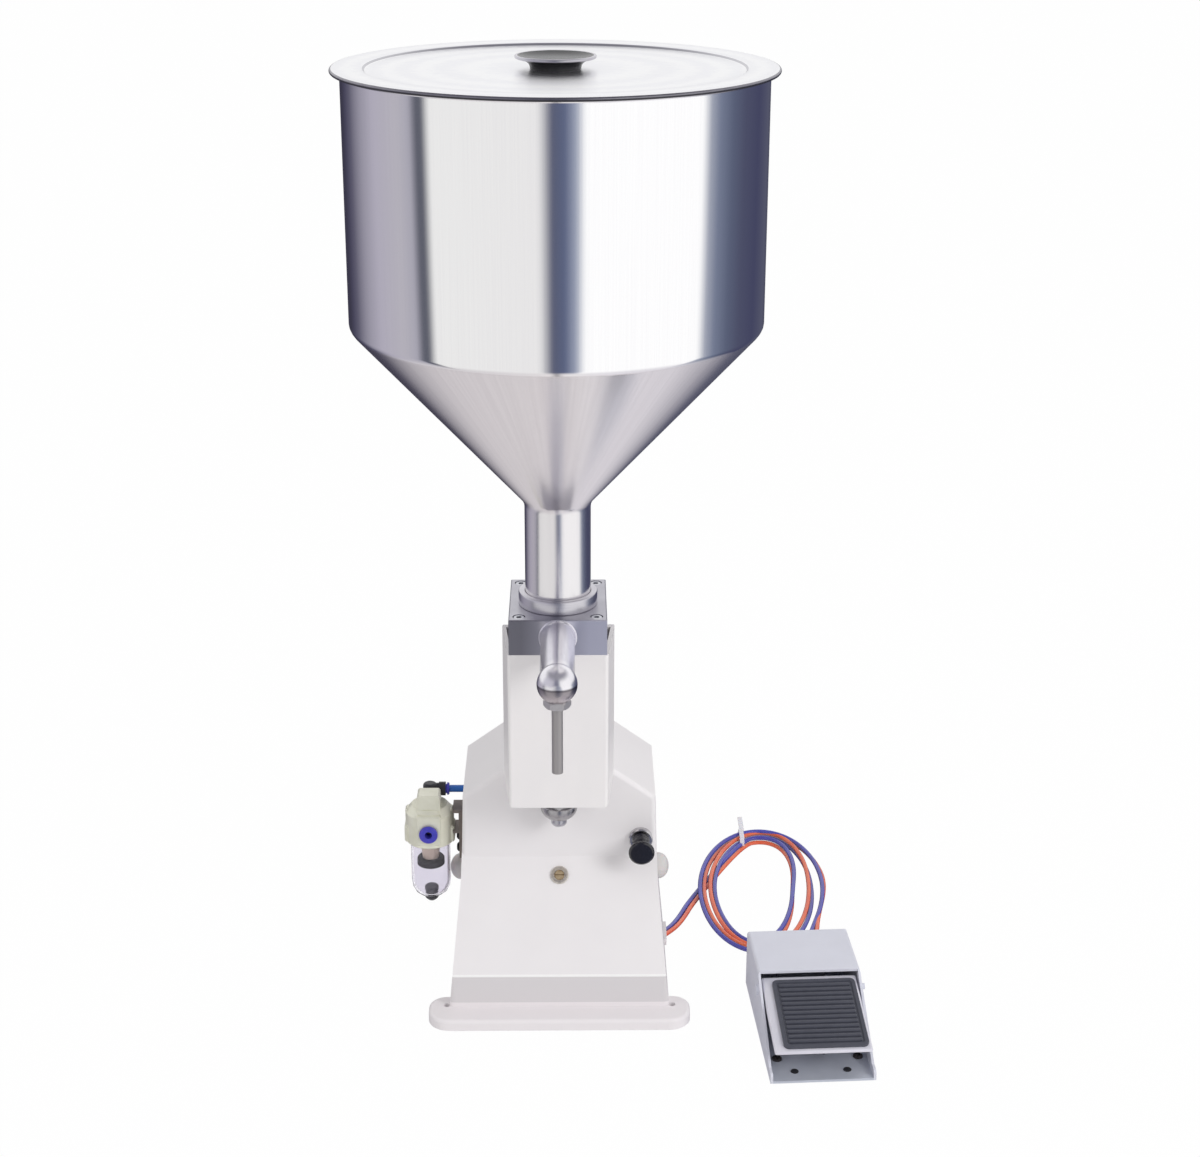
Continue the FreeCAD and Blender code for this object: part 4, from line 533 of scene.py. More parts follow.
hopper = turn_up("hopper_shell", outside + bead + inside, 320, closed=True)
hopper.data.materials.append(polished)
hopper.data.materials.append(satin)
for face in hopper.data.polygons:
    if face.center.z * 1000.0 < drum_low - 1.0:
        face.material_index = 1
set_in_place(hopper, (0, hopper_y, 0))
finish_piece(hopper, polished, "frame", "hopper_steel", "hopper")


# Collar under the hopper
# A turned ring, pressed round the neck and seated on the block; its top and front edge catch the light.
collar_steel, tree, skin, place = start_finish("bright_turned_ring")
cloudy(tree, skin, stretched(tree, place, (60, 60, 1400)), 1.0, "dfdde2", "c4c2c9")
grained(tree, skin, stretched(tree, place, (50, 50, 2600)), 1.0, 0.000008)
set_skin(skin, 0.3, 1.0)
collar_top = 346.9 + 10.7
collar = turn_up("hopper_ring", [(25.55, 346.9), (30.2, 346.9), (30.7, 347.4), (30.7, collar_top - 1.2), (30.3,
        collar_top - 0.4),
                                 (29.6, collar_top), (26.6, collar_top), (25.9, collar_top - 0.3), (25.55,
                                         collar_top - 0.9),
                                 (25.55, 346.9)], 192, closed=True)
set_in_place(collar, (0, hopper_y, 0))
finish_piece(collar, collar_steel, "frame", "turned_steel", "hopper_collar")


# Lid
# A spun stainless disc with a curled edge; its middle is let in, so a ring shows near the rim, drawn darker as
# painted shade. The curl's underside is painted shadow in black, and its outer half painted shade in darker steel.
lid_low, lid_t = 756.1, 1.0
dip = lid_low - 2.1
lid_r, lid_bead = 159.5, 1.5
top_side = [(3.2, dip + lid_t), (128.0, dip + lid_t), (134.6, dip + lid_t + 0.05), (136.0, dip + lid_t + 0.35),
            (137.6, lid_low + lid_t - 0.4),
            (138.6, lid_low + lid_t - 0.05), (140.4, lid_low + lid_t), (157.8, lid_low + lid_t)]
curl = arc(lid_r, lid_low + lid_t - lid_bead, lid_bead, 84, -150, 14)
under = [(157.6, lid_low), (139.2, lid_low), (137.9, lid_low - 0.5), (136.6, dip + 0.1), (135.0, dip), (3.2, dip),
         (3.2, dip + lid_t)]
lid_steel, tree, skin, place = start_finish("polished_stainless_lid")
centred = node(tree, "ShaderNodeMapping", {"Location": (0, -hopper_y, 0)}, {"Vector": place})
rings = node(tree, "ShaderNodeTexWave", {"wave_type": "RINGS", "rings_direction": "SPHERICAL", "Scale": 90.0,
                                         "Distortion": 2.5,
                                         "Detail": 2.0, "Detail Scale": 1.5}, {"Vector": centred.outputs[0]})
flat = node(tree, "ShaderNodeVectorMath", {"operation": "MULTIPLY", 1: (1, 1, 0)}, {0: centred.outputs[0]})
reach = node(tree, "ShaderNodeVectorMath", {"operation": "LENGTH"}, {0: flat.outputs[0]})
# Painted shade: a grey ring line round the step of the let-in middle, 136 to 137.5 mm from the axis.
step_painted_shade = node(tree, "ShaderNodeMath", {"operation": "COMPARE", 1: 0.1368, 2: 0.0007}, {0: reach.outputs["Value"]})
sheen = blended(tree, rings.outputs["Fac"], "fdfdfd", "f6f6f8")
tree.links.new(blended(tree, step_painted_shade.outputs[0], sheen, "c6c5ca"), skin.inputs["Base Color"])
set_skin(skin, 0.3, 1.0)
lid = turn_up("lid_disc", top_side + curl + under, 320, closed=True)
# Painted shadow: a black band on the curl's underside, where the lid sits on the rim.
curl_painted_shadow, tree, skin, place = start_finish("black_painted_shadow_under_curl")
cloudy(tree, skin, place, 180.0, "2c2b33", "201f26")
set_skin(skin, 0.4, IOR=1.5)
# Painted shade: the outer half of the curl in darker steel.
curl_painted_shade, tree, skin, place = start_finish("dark_curl_painted_shade")
cloudy(tree, skin, place, 120.0, "96949c", "7d7b83")
set_skin(skin, 0.3, 1.0)
for finish in (lid_steel, curl_painted_shadow, curl_painted_shade):
    lid.data.materials.append(finish)
# The curl's underside takes the painted shadow, and the rest of its outer half the painted shade.
for face in lid.data.polygons:
    reach = math.hypot(face.center.x, face.center.y) * 1000.0
    if reach > lid_r - 0.4 and face.center.z * 1000.0 < lid_low - 0.6:
        face.material_index = 1
    elif reach > lid_r + 0.1:
        face.material_index = 2
set_in_place(lid, (0, hopper_y, 0))
finish_piece(lid, lid_steel, "lid_body", "hopper_steel", "lid")


# Lid knob
# A turned knob: a bright steel band round the rim, with a glossy black moulding that forms its neck and the
# dished top.
knob_low = dip + lid_t
knob_top = knob_low + 9.8
black_moulding, tree, skin, place = start_finish("glossy_black_moulding")
cloudy(tree, skin, place, 60.0, "3c3c3e", "2f2f32")
set_skin(skin, 0.22, IOR=1.5, Specular_IOR_Level=0.14)
foot = [(2.9, dip - 4.0), (2.9, knob_low), (18.4, knob_low), (18.4, knob_low + 1.0), (18.8, knob_low + 2.4), (19.6,
        knob_low + 3.8),
        (21.0, knob_low + 5.0), (22.8, knob_low + 6.1), (25.0, knob_low + 7.0)]
band = [(28.2, knob_top - 2.5), (29.0, knob_top - 2.2), (29.3, knob_top - 1.6), (29.3, knob_top - 0.7), (28.9,
        knob_top - 0.15),
        (28.2, knob_top)]
dish = [(27.4, knob_top - 0.2), (22.0, knob_top - 1.6), (14.0, knob_top - 2.5), (4.0, knob_top - 2.8)]
knob = turn_up("lid_grip", foot + band + dish, 160)
knob.data.materials.append(black_moulding)
knob.data.materials.append(collar_steel)
for face in knob.data.polygons:
    reach = math.hypot(*(sum(knob.data.vertices[v].co[k] for v in face.vertices) / len(face.vertices) for k in (0,
            1))) * 1000.0
    if reach > 26.0:
        face.material_index = 1
set_in_place(knob, (0, hopper_y, 0))
finish_piece(knob, black_moulding, "lid_body", "turned_steel", "lid_knob")


# Outlet spout
# A turned stub, welded into the block with a fillet, that ends in a ball. The nut and the nozzle tube screw into
# the flat under the ball.
spout_axis_z, block_face_y = 332.5, hopper_y - 0.0397
stub_r, ball_r, ball_reach = 13.0, 15.0, 89.0
fillet = [(8.0, 0.0), (14.8, 0.0), (14.3, 0.35), (13.8, 0.9), (13.4, 1.8), (13.1, 3.0), (13.0, 4.5)]
meet = ball_reach - math.sqrt(ball_r ** 2 - stub_r ** 2)
neck_in = [(13.0, meet - 2.0), (13.1, meet - 0.9), (13.35, meet + 0.1)]
ball = [(ball_r * math.cos(math.radians(a)), ball_reach + ball_r * math.sin(math.radians(a))) for a in range(-26,
        76, 4)]
spout = turn_up("outlet_arm", fillet + [(13.0, 30.0)] + neck_in + ball, 128)
spout_steel, tree, skin, place = start_finish("polished_stainless_painted_reflection")
lines = node(tree, "ShaderNodeTexNoise", {"Scale": 1.0, "Detail": 3.0}, {"Vector": stretched(tree, place, (700, 60,
        700))})
polish = blended(tree, lines.outputs["Fac"], "efedf3", "dad8e0")
spot = node(tree, "ShaderNodeSeparateXYZ", links={"Vector": place})
# Painted reflection on the ball: grey below, a dark line round its middle at the axis height, and bright above.
ball_painted_reflection = node(tree, "ShaderNodeValToRGB", links={"Fac": node(tree, "ShaderNodeMapRange", {"From Min": 0.315,
        "From Max": 0.35},
                                                                 {"Value": spot.outputs["Z"]}).outputs[0]})
fill_ramp(ball_painted_reflection.color_ramp, [(-180, "a9a3a6"), (-80, "c6c0c3"), (-10, "9a9498"), (4, "6a656b"), (18, "f2f0f4"),
                                  (180, "f6f4f8")])
# The painted reflection covers the ball end of the spout, from 70 mm in front; the rest keeps the polishing lines.
at_ball = node(tree, "ShaderNodeMapRange", {"From Min": -0.070, "From Max": -0.078}, {"Value": spot.outputs["Y"]})
tree.links.new(blended(tree, at_ball.outputs[0], polish, ball_painted_reflection.outputs["Color"]), skin.inputs["Base Color"])
grained(tree, skin, stretched(tree, place, (900, 120, 900)), 1.0, 0.00001)
set_skin(skin, 0.27, 1.0)
set_in_place(spout, (0, block_face_y, spout_axis_z / 1000.0), (math.radians(90), 0, 0))
finish_piece(spout, spout_steel, "frame", "turned_steel", "outlet_spout")

nut_steel, tree, skin, place = start_finish("machined_stainless_nut")
cloudy(tree, skin, place, 300.0, "cbc8ca", "b0acae")
grained(tree, skin, place, 2200.0, 0.000015)
set_skin(skin, 0.36, 0.6)
dress(nut_steel, "nozzle_nut")

tube_steel, tree, skin, place = start_finish("drawn_stainless_tube")
cloudy(tree, skin, stretched(tree, place, (900, 900, 30)), 1.0, "aaa6a6", "989495")
grained(tree, skin, stretched(tree, place, (1500, 1500, 60)), 1.0, 0.000015)
set_skin(skin, 0.46, 0.5)
dress(tube_steel, "nozzle_tube")


# Stroke nut
# A chromed bowl nut on the end of the piston rod, turned by hand to set the stroke.
rod_low = 152.5
rod = turn_up("piston_rod_round", [(0.4, rod_low), (3.6, rod_low + 0.15), (5.4, rod_low + 0.9), (6.3,
        rod_low + 2.2), (6.5, rod_low + 3.8),
                                   (6.5, 273.7), (0.4, 273.7)], 64)
set_in_place(rod, (0, hopper_y, 0))
finish_piece(rod, rod_steel, "piston_body", "ground_rod_steel", "piston_rod")
nut_chrome, tree, skin, place = start_finish("chromed_hand_nut")
cloudy(tree, skin, place, 200.0, "bdbbbd", "8f8d91")
set_skin(skin, 0.24, 1.0)
nut_low = 159.9
nut = turn_up("stroke_nut_bowl", [(6.6, nut_low), (8.6, nut_low + 0.35), (10.6, nut_low + 1.3), (12.4,
        nut_low + 2.9), (13.8, nut_low + 4.9),
                                  (14.7, nut_low + 7.2), (15.0, nut_low + 9.4), (15.0, nut_low + 12.0), (14.6,
                                          nut_low + 12.6),
                                  (6.6, nut_low + 12.6), (6.6, nut_low)], 96, closed=True)
hexagon = turn_up("stroke_nut_hexagon", [(7.7, nut_low + 12.5), (14.8, nut_low + 12.5), (14.8, nut_low + 17.5),
                                         (14.2, nut_low + 18.0),
                                         (7.7, nut_low + 18.0), (7.7, nut_low + 12.5)], 6, closed=True)
bpy.ops.object.select_all(action="DESELECT")
hexagon.select_set(True)
nut.select_set(True)
bpy.context.view_layer.objects.active = nut
bpy.ops.object.join()
set_in_place(nut, (0, hopper_y, 0))
finish_piece(nut, nut_chrome, "stroke_nut_body", "chrome_plate", "stroke_nut")


# Hand valve
# A chromed collar screwed into the ramp, with a push-pull knob: a knurled black neck and a smooth glossy cap.
collar_chrome, tree, skin, place = start_finish("chromed_valve_collar")
cloudy(tree, skin, place, 240.0, "e6e4e5", "a9a7aa")
set_skin(skin, 0.18, 1.0)
dress(collar_chrome, "hand_valve_body")

knob_black, tree, skin, place = start_finish("black_phenolic_knob")
cloudy(tree, skin, place, 120.0, "1f1e26", "131318")
set_skin(skin, 0.16, IOR=1.55, Coat_Weight=0.5, Coat_Roughness=0.05)
face_y, reach = 79.6 - 20.0, 28.5
knurl = [(2.5, 4.0), (6.2, 4.0)]
for i in range(10):
    knurl += [(6.2, 4.6 + i), (6.9, 5.0 + i), (6.9, 5.25 + i)]
knurl += [(6.2, 14.9), (5.0, 15.6), (2.5, 15.6)]
grip = turn_up("hand_valve_grip", [(2.45, -20.0), (2.5, 4.2)], 32)
neck = turn_up("hand_valve_knurl", knurl, 26)
cap = turn_up("hand_valve_cap", [(2.5, 15.2), (4.9, 15.2), (4.7, 17.0), (4.9, 19.0), (5.6, 20.6), (7.4, 22.2), (9.2,
        23.4), (10.2, 24.6),
                                 (10.6, 25.8), (10.5, 27.0), (9.9, 27.8), (8.9, 28.3), (0.4, reach)], 96)
bpy.ops.object.select_all(action="DESELECT")
for part in (neck, cap, grip):
    part.select_set(True)
bpy.context.view_layer.objects.active = grip
bpy.ops.object.join()
set_in_place(grip, (0.067, face_y / 1000.0, 0.1307), (math.radians(90), 0, 0))
finish_piece(grip, knob_black, "hand_knob_body", "black_plastic", "hand_valve_knob", angle=20.0)


# Speed screw
# A slotted brass screw in a round nickelled bezel, square to the ramp.
bezel_metal, tree, skin, place = start_finish("nickelled_brass_bezel")
cloudy(tree, skin, place, 420.0, "fffaf2", "a59b8e")
grained(tree, skin, place, 1500.0, 0.00004)
set_skin(skin, 0.3, 0.75)
dress(bezel_metal, "speed_bezel")

screw_brass, tree, skin, place = start_finish("worn_brass_screw")
cloudy(tree, skin, place, 500.0, "fbe6c0", "a98c60")
grained(tree, skin, place, 1800.0, 0.00005)
set_skin(skin, 0.28, 0.7)
dress(screw_brass, "speed_screw")


# Side caps
# Two domed plugs of off-white polyethylene, pressed into the body's sides.
cap_plastic, tree, skin, place = start_finish("off_white_polyethylene")
cloudy(tree, skin, place, 70.0, "dcd8d6", "cfcac9")
grained(tree, skin, place, 700.0, 0.00002)
set_skin(skin, 0.36, IOR=1.5, Subsurface_Weight=0.1)
dress(cap_plastic, "side_caps")


# Air filter
# A die-cast head, champagne coloured, holds a clear polycarbonate bowl with a bronze element and a black baffle
# ring. A blue release ring takes the air hose, and a black elbow sends the air on through a short blue tube.
cast_head, tree, skin, place = start_finish("champagne_die_casting")
cloudy(tree, skin, place, 90.0, "f3f3e4", "dedcc8")
grained(tree, skin, place, 1300.0, 0.00003)
set_skin(skin, 0.34, 0.3, IOR=1.5)
dress(cast_head, "filter_head")

bracket_steel, tree, skin, place = start_finish("browned_strip_steel")
cloudy(tree, skin, place, 120.0, "8a8079", "6f6661")
grained(tree, skin, place, 1600.0, 0.00002)
set_skin(skin, 0.45, 0.6)
dress(bracket_steel, "filter_bracket")

bowl_clear, tree, skin, place = start_finish("clear_polycarbonate")
cloudy(tree, skin, place, 40.0, "f4f2f8", "eae7f0")
set_skin(skin, 0.05, IOR=1.12, Transmission_Weight=0.96)
bowl = turn_up("filter_bowl_clear", [(3.3, 66.1), (6.4, 66.3), (10.2, 67.4), (13.4, 70.2), (15.6, 74.6), (16.4,
        80.0), (16.4, 121.0), (14.6, 121.0),
                                     (14.6, 80.4), (13.8, 75.6), (12.0, 71.8), (9.4, 69.2), (6.2, 68.1), (3.3,
                                             68.0), (3.3, 66.1)],
               96, closed=True)
filter_centre = (-0.108, hopper_y + 0.045, 0)
set_in_place(bowl, filter_centre)
finish_piece(bowl, bowl_clear, "frame", "bowl_plastic", "filter_bowl")

bronze, tree, skin, place = start_finish("sintered_bronze")
cloudy(tree, skin, place, 900.0, "e6d8c6", "c4b098")
grained(tree, skin, place, 2400.0, 0.0001)
set_skin(skin, 0.6, 0.2)
cartridge = turn_up("filter_cartridge", [(0.4, 97.0), (5.4, 97.0), (6.6, 99.0), (7.2, 104.0), (8.3, 117.0), (8.3,
        124.8), (0.4, 124.9)], 64)
set_in_place(cartridge, filter_centre)
finish_piece(cartridge, bronze, "frame", "sintered_bronze", "filter_element")

black_plastic, tree, skin, place = start_finish("moulded_black_nylon")
cloudy(tree, skin, place, 150.0, "35343a", "242428")
grained(tree, skin, place, 1200.0, 0.00002)
set_skin(skin, 0.32, IOR=1.5)
dress(black_plastic, "elbow_fitting")
baffle = turn_up("filter_baffle_ring", [(5.5, 98.6), (9.2, 98.4), (9.8, 95.0), (10.8, 94.2), (11.5, 94.8), (11.4,
        99.6), (10.6, 100.6), (5.5, 100.6),
                                        (5.5, 98.6)], 64, closed=True)
set_in_place(baffle, filter_centre)
baffle_black, tree, skin, place = start_finish("matt_black_polypropylene")
cloudy(tree, skin, place, 150.0, "161618", "0c0c0e")
set_skin(skin, 0.55, IOR=1.3)
finish_piece(baffle, baffle_black, "frame", "black_plastic", "filter_baffle")

drain_grey, tree, skin, place = start_finish("grey_moulded_acetal")
cloudy(tree, skin, place, 200.0, "4e4d53", "3b3a40")
grained(tree, skin, place, 1200.0, 0.00002)
set_skin(skin, 0.4, IOR=1.48)
dress(drain_grey, "drain_knob")
drain_nut = turn_up("drain_nut", [(0.4, 68.6), (5.4, 68.7), (5.8, 69.2), (5.8, 72.4), (5.0, 73.2), (0.4, 73.4)], 48)
set_in_place(drain_nut, filter_centre)
finish_piece(drain_nut, drain_grey, "drain_body", "knob_plastic")

blue_acetal, tree, skin, place = start_finish("blue_moulded_acetal")
cloudy(tree, skin, place, 180.0, "4c4ac4", "3a38a8")
set_skin(skin, 0.3, IOR=1.48, Subsurface_Weight=0.05)
dress(blue_acetal, "inlet_release_ring", "elbow_release_ring")

blue_tube, tree, skin, place = start_finish("bright_blue_polyurethane")
cloudy(tree, skin, place, 150.0, "2f74c8", "2358a8")
set_skin(skin, 0.2, IOR=1.49, Coat_Weight=0.4, Coat_Roughness=0.1)
dress(blue_tube, "filter_tube")


# Foot pedal
# Sheet steel, bent and coated in light grey powder: a cover with side walls on a floor plate, and a bright
# pressed treadle that tips on a zinc plated pin over the valve's plunger.
powder, tree, skin, place = start_finish("light_grey_powder_coat")
cloudy(tree, skin, place, 45.0, "e0e1ec", "d7d8e3")
grained(tree, skin, place, 1500.0, 0.000025)   # powder grain 0.7 mm apart
set_skin(skin, 0.45, IOR=1.5)
dress(powder, "pedal_cover", "pedal_pin")

plate_steel, tree, skin, place = start_finish("zinc_coated_plate")
cloudy(tree, skin, place, 60.0, "d5d9e3", "c2c7d3")
grained(tree, skin, place, 900.0, 0.00001)
set_skin(skin, 0.34, 0.35)
dress(plate_steel, "pedal_base")

treadle_steel, tree, skin, place = start_finish("bright_pressed_steel")
cloudy(tree, skin, place, 50.0, "eceaf2", "dcdbe6")
grained(tree, skin, place, 1200.0, 0.00001)
set_skin(skin, 0.32, 0.2)
dress(turned_steel, "pedal_plunger")
pedal_turn = Matrix.Rotation(math.radians(3.0), 4, "Z")
pedal_place = Matrix.Translation((0.2057, hopper_y - 0.1397, 0.0))
treadle_z0, treadle_rise = 26.5, 16.5 / 83.0
slope = Matrix.Rotation(math.atan(treadle_rise), 4, "X")
treadle_w, treadle_y0, treadle_y1, flange = 76.8, 1.6, 86.0, 7.0
bpy.ops.object.select_all(action="DESELECT")
bpy.ops.mesh.primitive_cube_add(size=1, location=(0, (treadle_y0 + treadle_y1) / 2000.0, -flange / 2000.0))
treadle = bpy.context.object
treadle.name = "treadle_tray"
treadle.scale = (treadle_w / 1000.0, (treadle_y1 - treadle_y0) / 1000.0, flange / 1000.0)
bpy.ops.object.transform_apply(location=True, rotation=True, scale=True)
bpy.ops.object.mode_set(mode="EDIT")
bpy.ops.mesh.select_mode(type="FACE")
bpy.ops.mesh.select_all(action="DESELECT")
mesh = bmesh.from_edit_mesh(treadle.data)
for face in mesh.faces:
    face.select_set(face.normal.z < -0.9 or face.normal.y > 0.9)
bmesh.update_edit_mesh(treadle.data)
bpy.ops.mesh.delete(type="ONLY_FACE")
bpy.ops.mesh.select_mode(type="EDGE")
bpy.ops.mesh.select_all(action="DESELECT")
mesh = bmesh.from_edit_mesh(treadle.data)
for edge in mesh.edges:
    edge.select_set(len(edge.link_faces) == 2)
bmesh.update_edit_mesh(treadle.data)
bpy.ops.mesh.bevel(offset=0.0018, segments=5)
bpy.ops.mesh.select_mode(type="VERT")
bpy.ops.mesh.select_all(action="DESELECT")
mesh = bmesh.from_edit_mesh(treadle.data)
for vert in mesh.verts:
    vert.select_set(vert.co.y < (treadle_y0 + 2.5) / 1000.0 and vert.co.z < -0.004)
bmesh.update_edit_mesh(treadle.data)
bpy.ops.transform.translate(value=(0, 0, (flange - 2.3) / 1000.0))
bpy.ops.object.mode_set(mode="OBJECT")
thick = treadle.modifiers.new("sheet", "SOLIDIFY")
thick.thickness = 0.0016
thick.offset = -1.0
bpy.ops.object.modifier_apply(modifier="sheet")
treadle.data.transform(pedal_place @ pedal_turn @ Matrix.Translation((0, 0, treadle_z0 / 1000.0)) @ slope)
finish_piece(treadle, treadle_steel, "treadle_body", "pedal_paint", "pedal_treadle", angle=40.0)


# Treadle pad
# A moulded rubber mat with rounded corners, a raised border and thirteen rounded ribs across it.
pad_w, pad_y0, pad_y1 = 67.0, 4.0, 80.0
bpy.ops.object.select_all(action="DESELECT")
bpy.ops.mesh.primitive_cube_add(size=1, location=(0, 0, 0))
pad = bpy.context.object
pad.name = "treadle_mat"
pad.scale = (pad_w / 1000.0, (pad_y1 - pad_y0) / 1000.0, 0.0022)
bpy.ops.object.transform_apply(location=True, rotation=True, scale=True)
bpy.ops.object.mode_set(mode="EDIT")
bpy.ops.mesh.select_all(action="DESELECT")
bpy.ops.mesh.select_mode(type="EDGE")
mesh = bmesh.from_edit_mesh(pad.data)
for edge in mesh.edges:
    a, b = edge.verts
    edge.select_set(abs(a.co.x - b.co.x) < 1e-6 and abs(a.co.y - b.co.y) < 1e-6)
bmesh.update_edit_mesh(pad.data)
bpy.ops.mesh.bevel(offset=0.0045, segments=6)
bpy.ops.mesh.select_mode(type="FACE")
bpy.ops.mesh.select_all(action="DESELECT")
mesh = bmesh.from_edit_mesh(pad.data)
for face in mesh.faces:
    face.select_set(face.normal.z > 0.9)
bmesh.update_edit_mesh(pad.data)
bpy.ops.mesh.inset(thickness=0.0007)
bpy.ops.mesh.inset(thickness=0.0022)
bpy.ops.mesh.inset(thickness=0.0006)
bpy.ops.transform.translate(value=(0, 0, -0.0010))
bpy.ops.object.mode_set(mode="OBJECT")
ribs = 13
pitch = (pad_y1 - pad_y0 - 8.0) / ribs / 1000.0
parts = [pad]
for i in range(ribs):
    bpy.ops.object.select_all(action="DESELECT")
    bpy.ops.mesh.primitive_cube_add(size=1, location=(0, -pitch * (ribs - 1) / 2 + pitch * i, 0.00035))
    rib = bpy.context.object
    rib.scale = ((pad_w - 9.5) / 1000.0, pitch * 0.62, 0.0022)
    bpy.ops.object.transform_apply(location=True, rotation=True, scale=True)
    bpy.ops.object.mode_set(mode="EDIT")
    bpy.ops.mesh.select_mode(type="EDGE")
    bpy.ops.mesh.select_all(action="SELECT")
    bpy.ops.mesh.bevel(offset=0.0008, segments=4)
    bpy.ops.object.mode_set(mode="OBJECT")
    parts.append(rib)
bpy.ops.object.select_all(action="DESELECT")
for part in parts:
    part.select_set(True)
bpy.context.view_layer.objects.active = pad
bpy.ops.object.join()
pad.data.transform(Matrix.Translation((0, 0, 0.0012)))
middle_y = (pad_y0 + pad_y1) / 2
lie = Matrix.Translation((0.0025, middle_y / 1000.0, (treadle_z0 + middle_y * treadle_rise) / 1000.0))
pad.data.transform(pedal_place @ pedal_turn @ lie @ slope)
mat_rubber, tree, skin, place = start_finish("ribbed_black_rubber")
cloudy(tree, skin, place, 220.0, "4a4c58", "3c3e49")
grained(tree, skin, place, 1600.0, 0.00003)
set_skin(skin, 0.42, IOR=1.52, Sheen_Weight=0.15)
finish_piece(pad, mat_rubber, "treadle_body", "pad_rubber", "treadle_pad", angle=50.0)


# Pedal hole shadows
# Two black rubber plugs pressed into the holes of the floor plate, under the treadle's front edge: painted shadow
# that keeps the holes dark.
for side, name in ((-1, "pedal_hole_shadow_left"), (1, "pedal_hole_shadow_right")):
    hole_shadow_disc = turn_up(name, [(0.4, 0.3), (2.3, 0.3), (2.4, 0.5), (2.4, 2.1), (3.1, 2.1), (3.2, 2.35), (3.0, 2.75),
                          (2.2, 3.0), (0.5, 3.05)], 40)
    spot = pedal_place @ pedal_turn @ Vector((side * 0.0208, 0.0125, 0))
    set_in_place(hole_shadow_disc, spot)
    finish_piece(hole_shadow_disc, seal_rubber, "frame", "pad_rubber")


# Cable tie
# A natural nylon strap round the coil's far end, drawn tight through its square head, its tail lying behind.
nylon, tree, skin, place = start_finish("natural_nylon")
cloudy(tree, skin, place, 300.0, "f8f4f8", "e6e2ea")
set_skin(skin, 0.35, IOR=1.53, Subsurface_Weight=0.1)
bpy.ops.object.select_all(action="DESELECT")
bpy.ops.mesh.primitive_cube_add(size=1, location=(0.1708, 0.2968, 0.0062))
strap = bpy.context.object
strap.name = "tie_strap"
strap.scale = (0.0042, 0.0230, 0.0122)
bpy.ops.object.transform_apply(location=True, rotation=True, scale=True)
bpy.ops.object.mode_set(mode="EDIT")
bpy.ops.mesh.select_mode(type="EDGE")
bpy.ops.mesh.select_all(action="DESELECT")
mesh = bmesh.from_edit_mesh(strap.data)
for edge in mesh.edges:
    a, b = edge.verts
    edge.select_set(abs(a.co.x - b.co.x) > 0.001)
bmesh.update_edit_mesh(strap.data)
bpy.ops.mesh.bevel(offset=0.0048, segments=8)
bpy.ops.mesh.select_mode(type="FACE")
bpy.ops.mesh.select_all(action="DESELECT")
mesh = bmesh.from_edit_mesh(strap.data)
for face in mesh.faces:
    face.select_set(abs(face.normal.x) > 0.9)
bmesh.update_edit_mesh(strap.data)
bpy.ops.mesh.delete(type="ONLY_FACE")
bpy.ops.object.mode_set(mode="OBJECT")
thick = strap.modifiers.new("strap", "SOLIDIFY")
thick.thickness = 0.0009
thick.offset = -1.0
bpy.ops.object.modifier_apply(modifier="strap")
tie_parts = [strap]
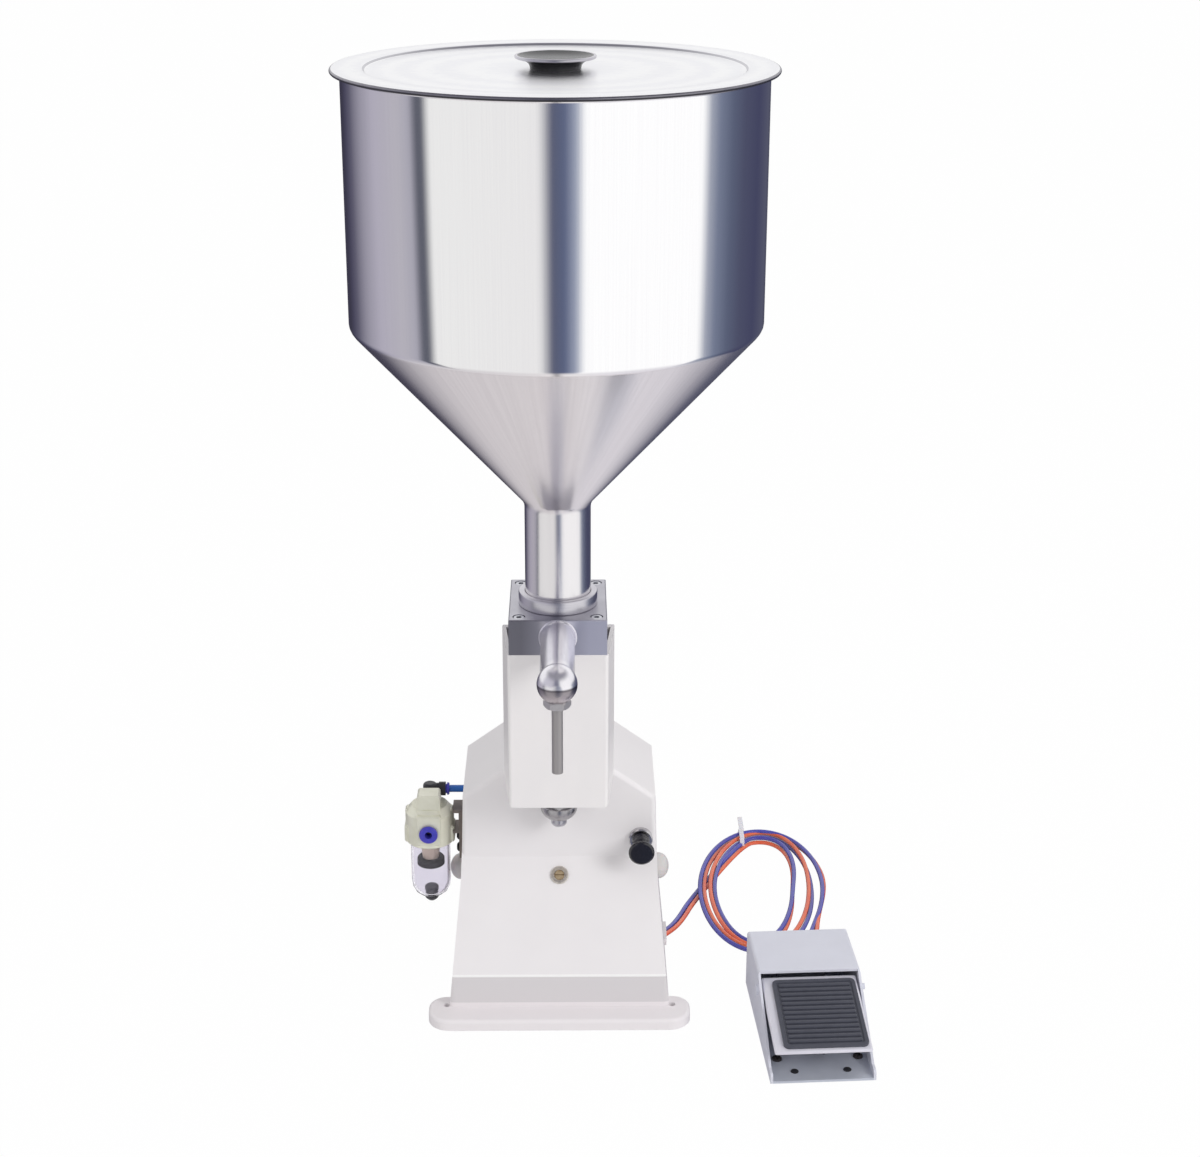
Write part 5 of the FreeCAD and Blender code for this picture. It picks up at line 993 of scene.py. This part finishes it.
for place_at, sizes in (((0.1712, 0.3107, 0.0027), (0.0056, 0.0050, 0.0050)), ((0.1732, 0.3300, 0.0018), (0.0044,
        0.0390, 0.0011))):
    bpy.ops.object.select_all(action="DESELECT")
    bpy.ops.mesh.primitive_cube_add(size=1, location=place_at)
    block = bpy.context.object
    block.scale = sizes
    bpy.ops.object.transform_apply(location=True, rotation=True, scale=True)
    bpy.ops.object.mode_set(mode="EDIT")
    bpy.ops.mesh.select_mode(type="EDGE")
    bpy.ops.mesh.select_all(action="SELECT")
    bpy.ops.mesh.bevel(offset=0.0003, segments=2)
    bpy.ops.object.mode_set(mode="OBJECT")
    tie_parts.append(block)
bpy.ops.object.select_all(action="DESELECT")
for part in tie_parts:
    part.select_set(True)
bpy.context.view_layer.objects.active = strap
bpy.ops.object.join()
finish_piece(strap, nylon, "frame", "tie_plastic", "cable_tie")


# Springs
# Coils of round wire: the inlet and outlet valve springs and the pedal's return spring.
for name, place, turn, coil_r, coil_length, turns, wire, joint, way, fixed, share_kept in [
        ("inlet", (0.0, 41.01, 320.2), 0.0, 5.75, 6.1, 2, 0.4, "inlet_ball_slide", (0, 0, 1), (0.0, 41.01, 320.2),
         0.39),
        ("outlet", (0.0, -24.69, 332.51), -90.0, 5.04, 16.0, 6, 0.4, "outlet_ball_slide", (0, 1, 0), (0.0, -24.69,
                332.51), 0.745),
        ("pedal", (203.89, -63.73, 2.01), 0.0, 5.97, 27.6, 5, 0.6, "treadle_press", (0, 0, 1), (203.89, -63.73,
                2.01), 0.65)]:
    bpy.ops.object.select_all(action="DESELECT")
    bpy.ops.mesh.primitive_circle_add(vertices=10, radius=wire / 1000.0, location=(coil_r / 1000.0, 0, wire / 1000.0),
                                      rotation=(math.radians(90), 0, 0))
    coil = bpy.context.object
    coil.name = name + "_spring_coil"
    bpy.ops.object.transform_apply(location=True, rotation=True, scale=True)
    wound = coil.modifiers.new("wound", "SCREW")
    wound.screw_offset = (coil_length - 2 * wire) / turns / 1000.0
    wound.iterations = turns
    wound.steps = wound.render_steps = 36
    bpy.ops.object.modifier_apply(modifier="wound")
    bpy.ops.object.mode_set(mode="EDIT")
    bpy.ops.mesh.select_all(action="SELECT")
    bpy.ops.mesh.fill_holes(sides=0)
    bpy.ops.mesh.normals_make_consistent(inside=False)
    bpy.ops.object.mode_set(mode="OBJECT")
    set_in_place(coil, [v / 1000.0 for v in place], (math.radians(turn), 0, 0))
    finish_piece(coil, spring_wire, "frame", "spring_steel", name + "_spring")
    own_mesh(coil)
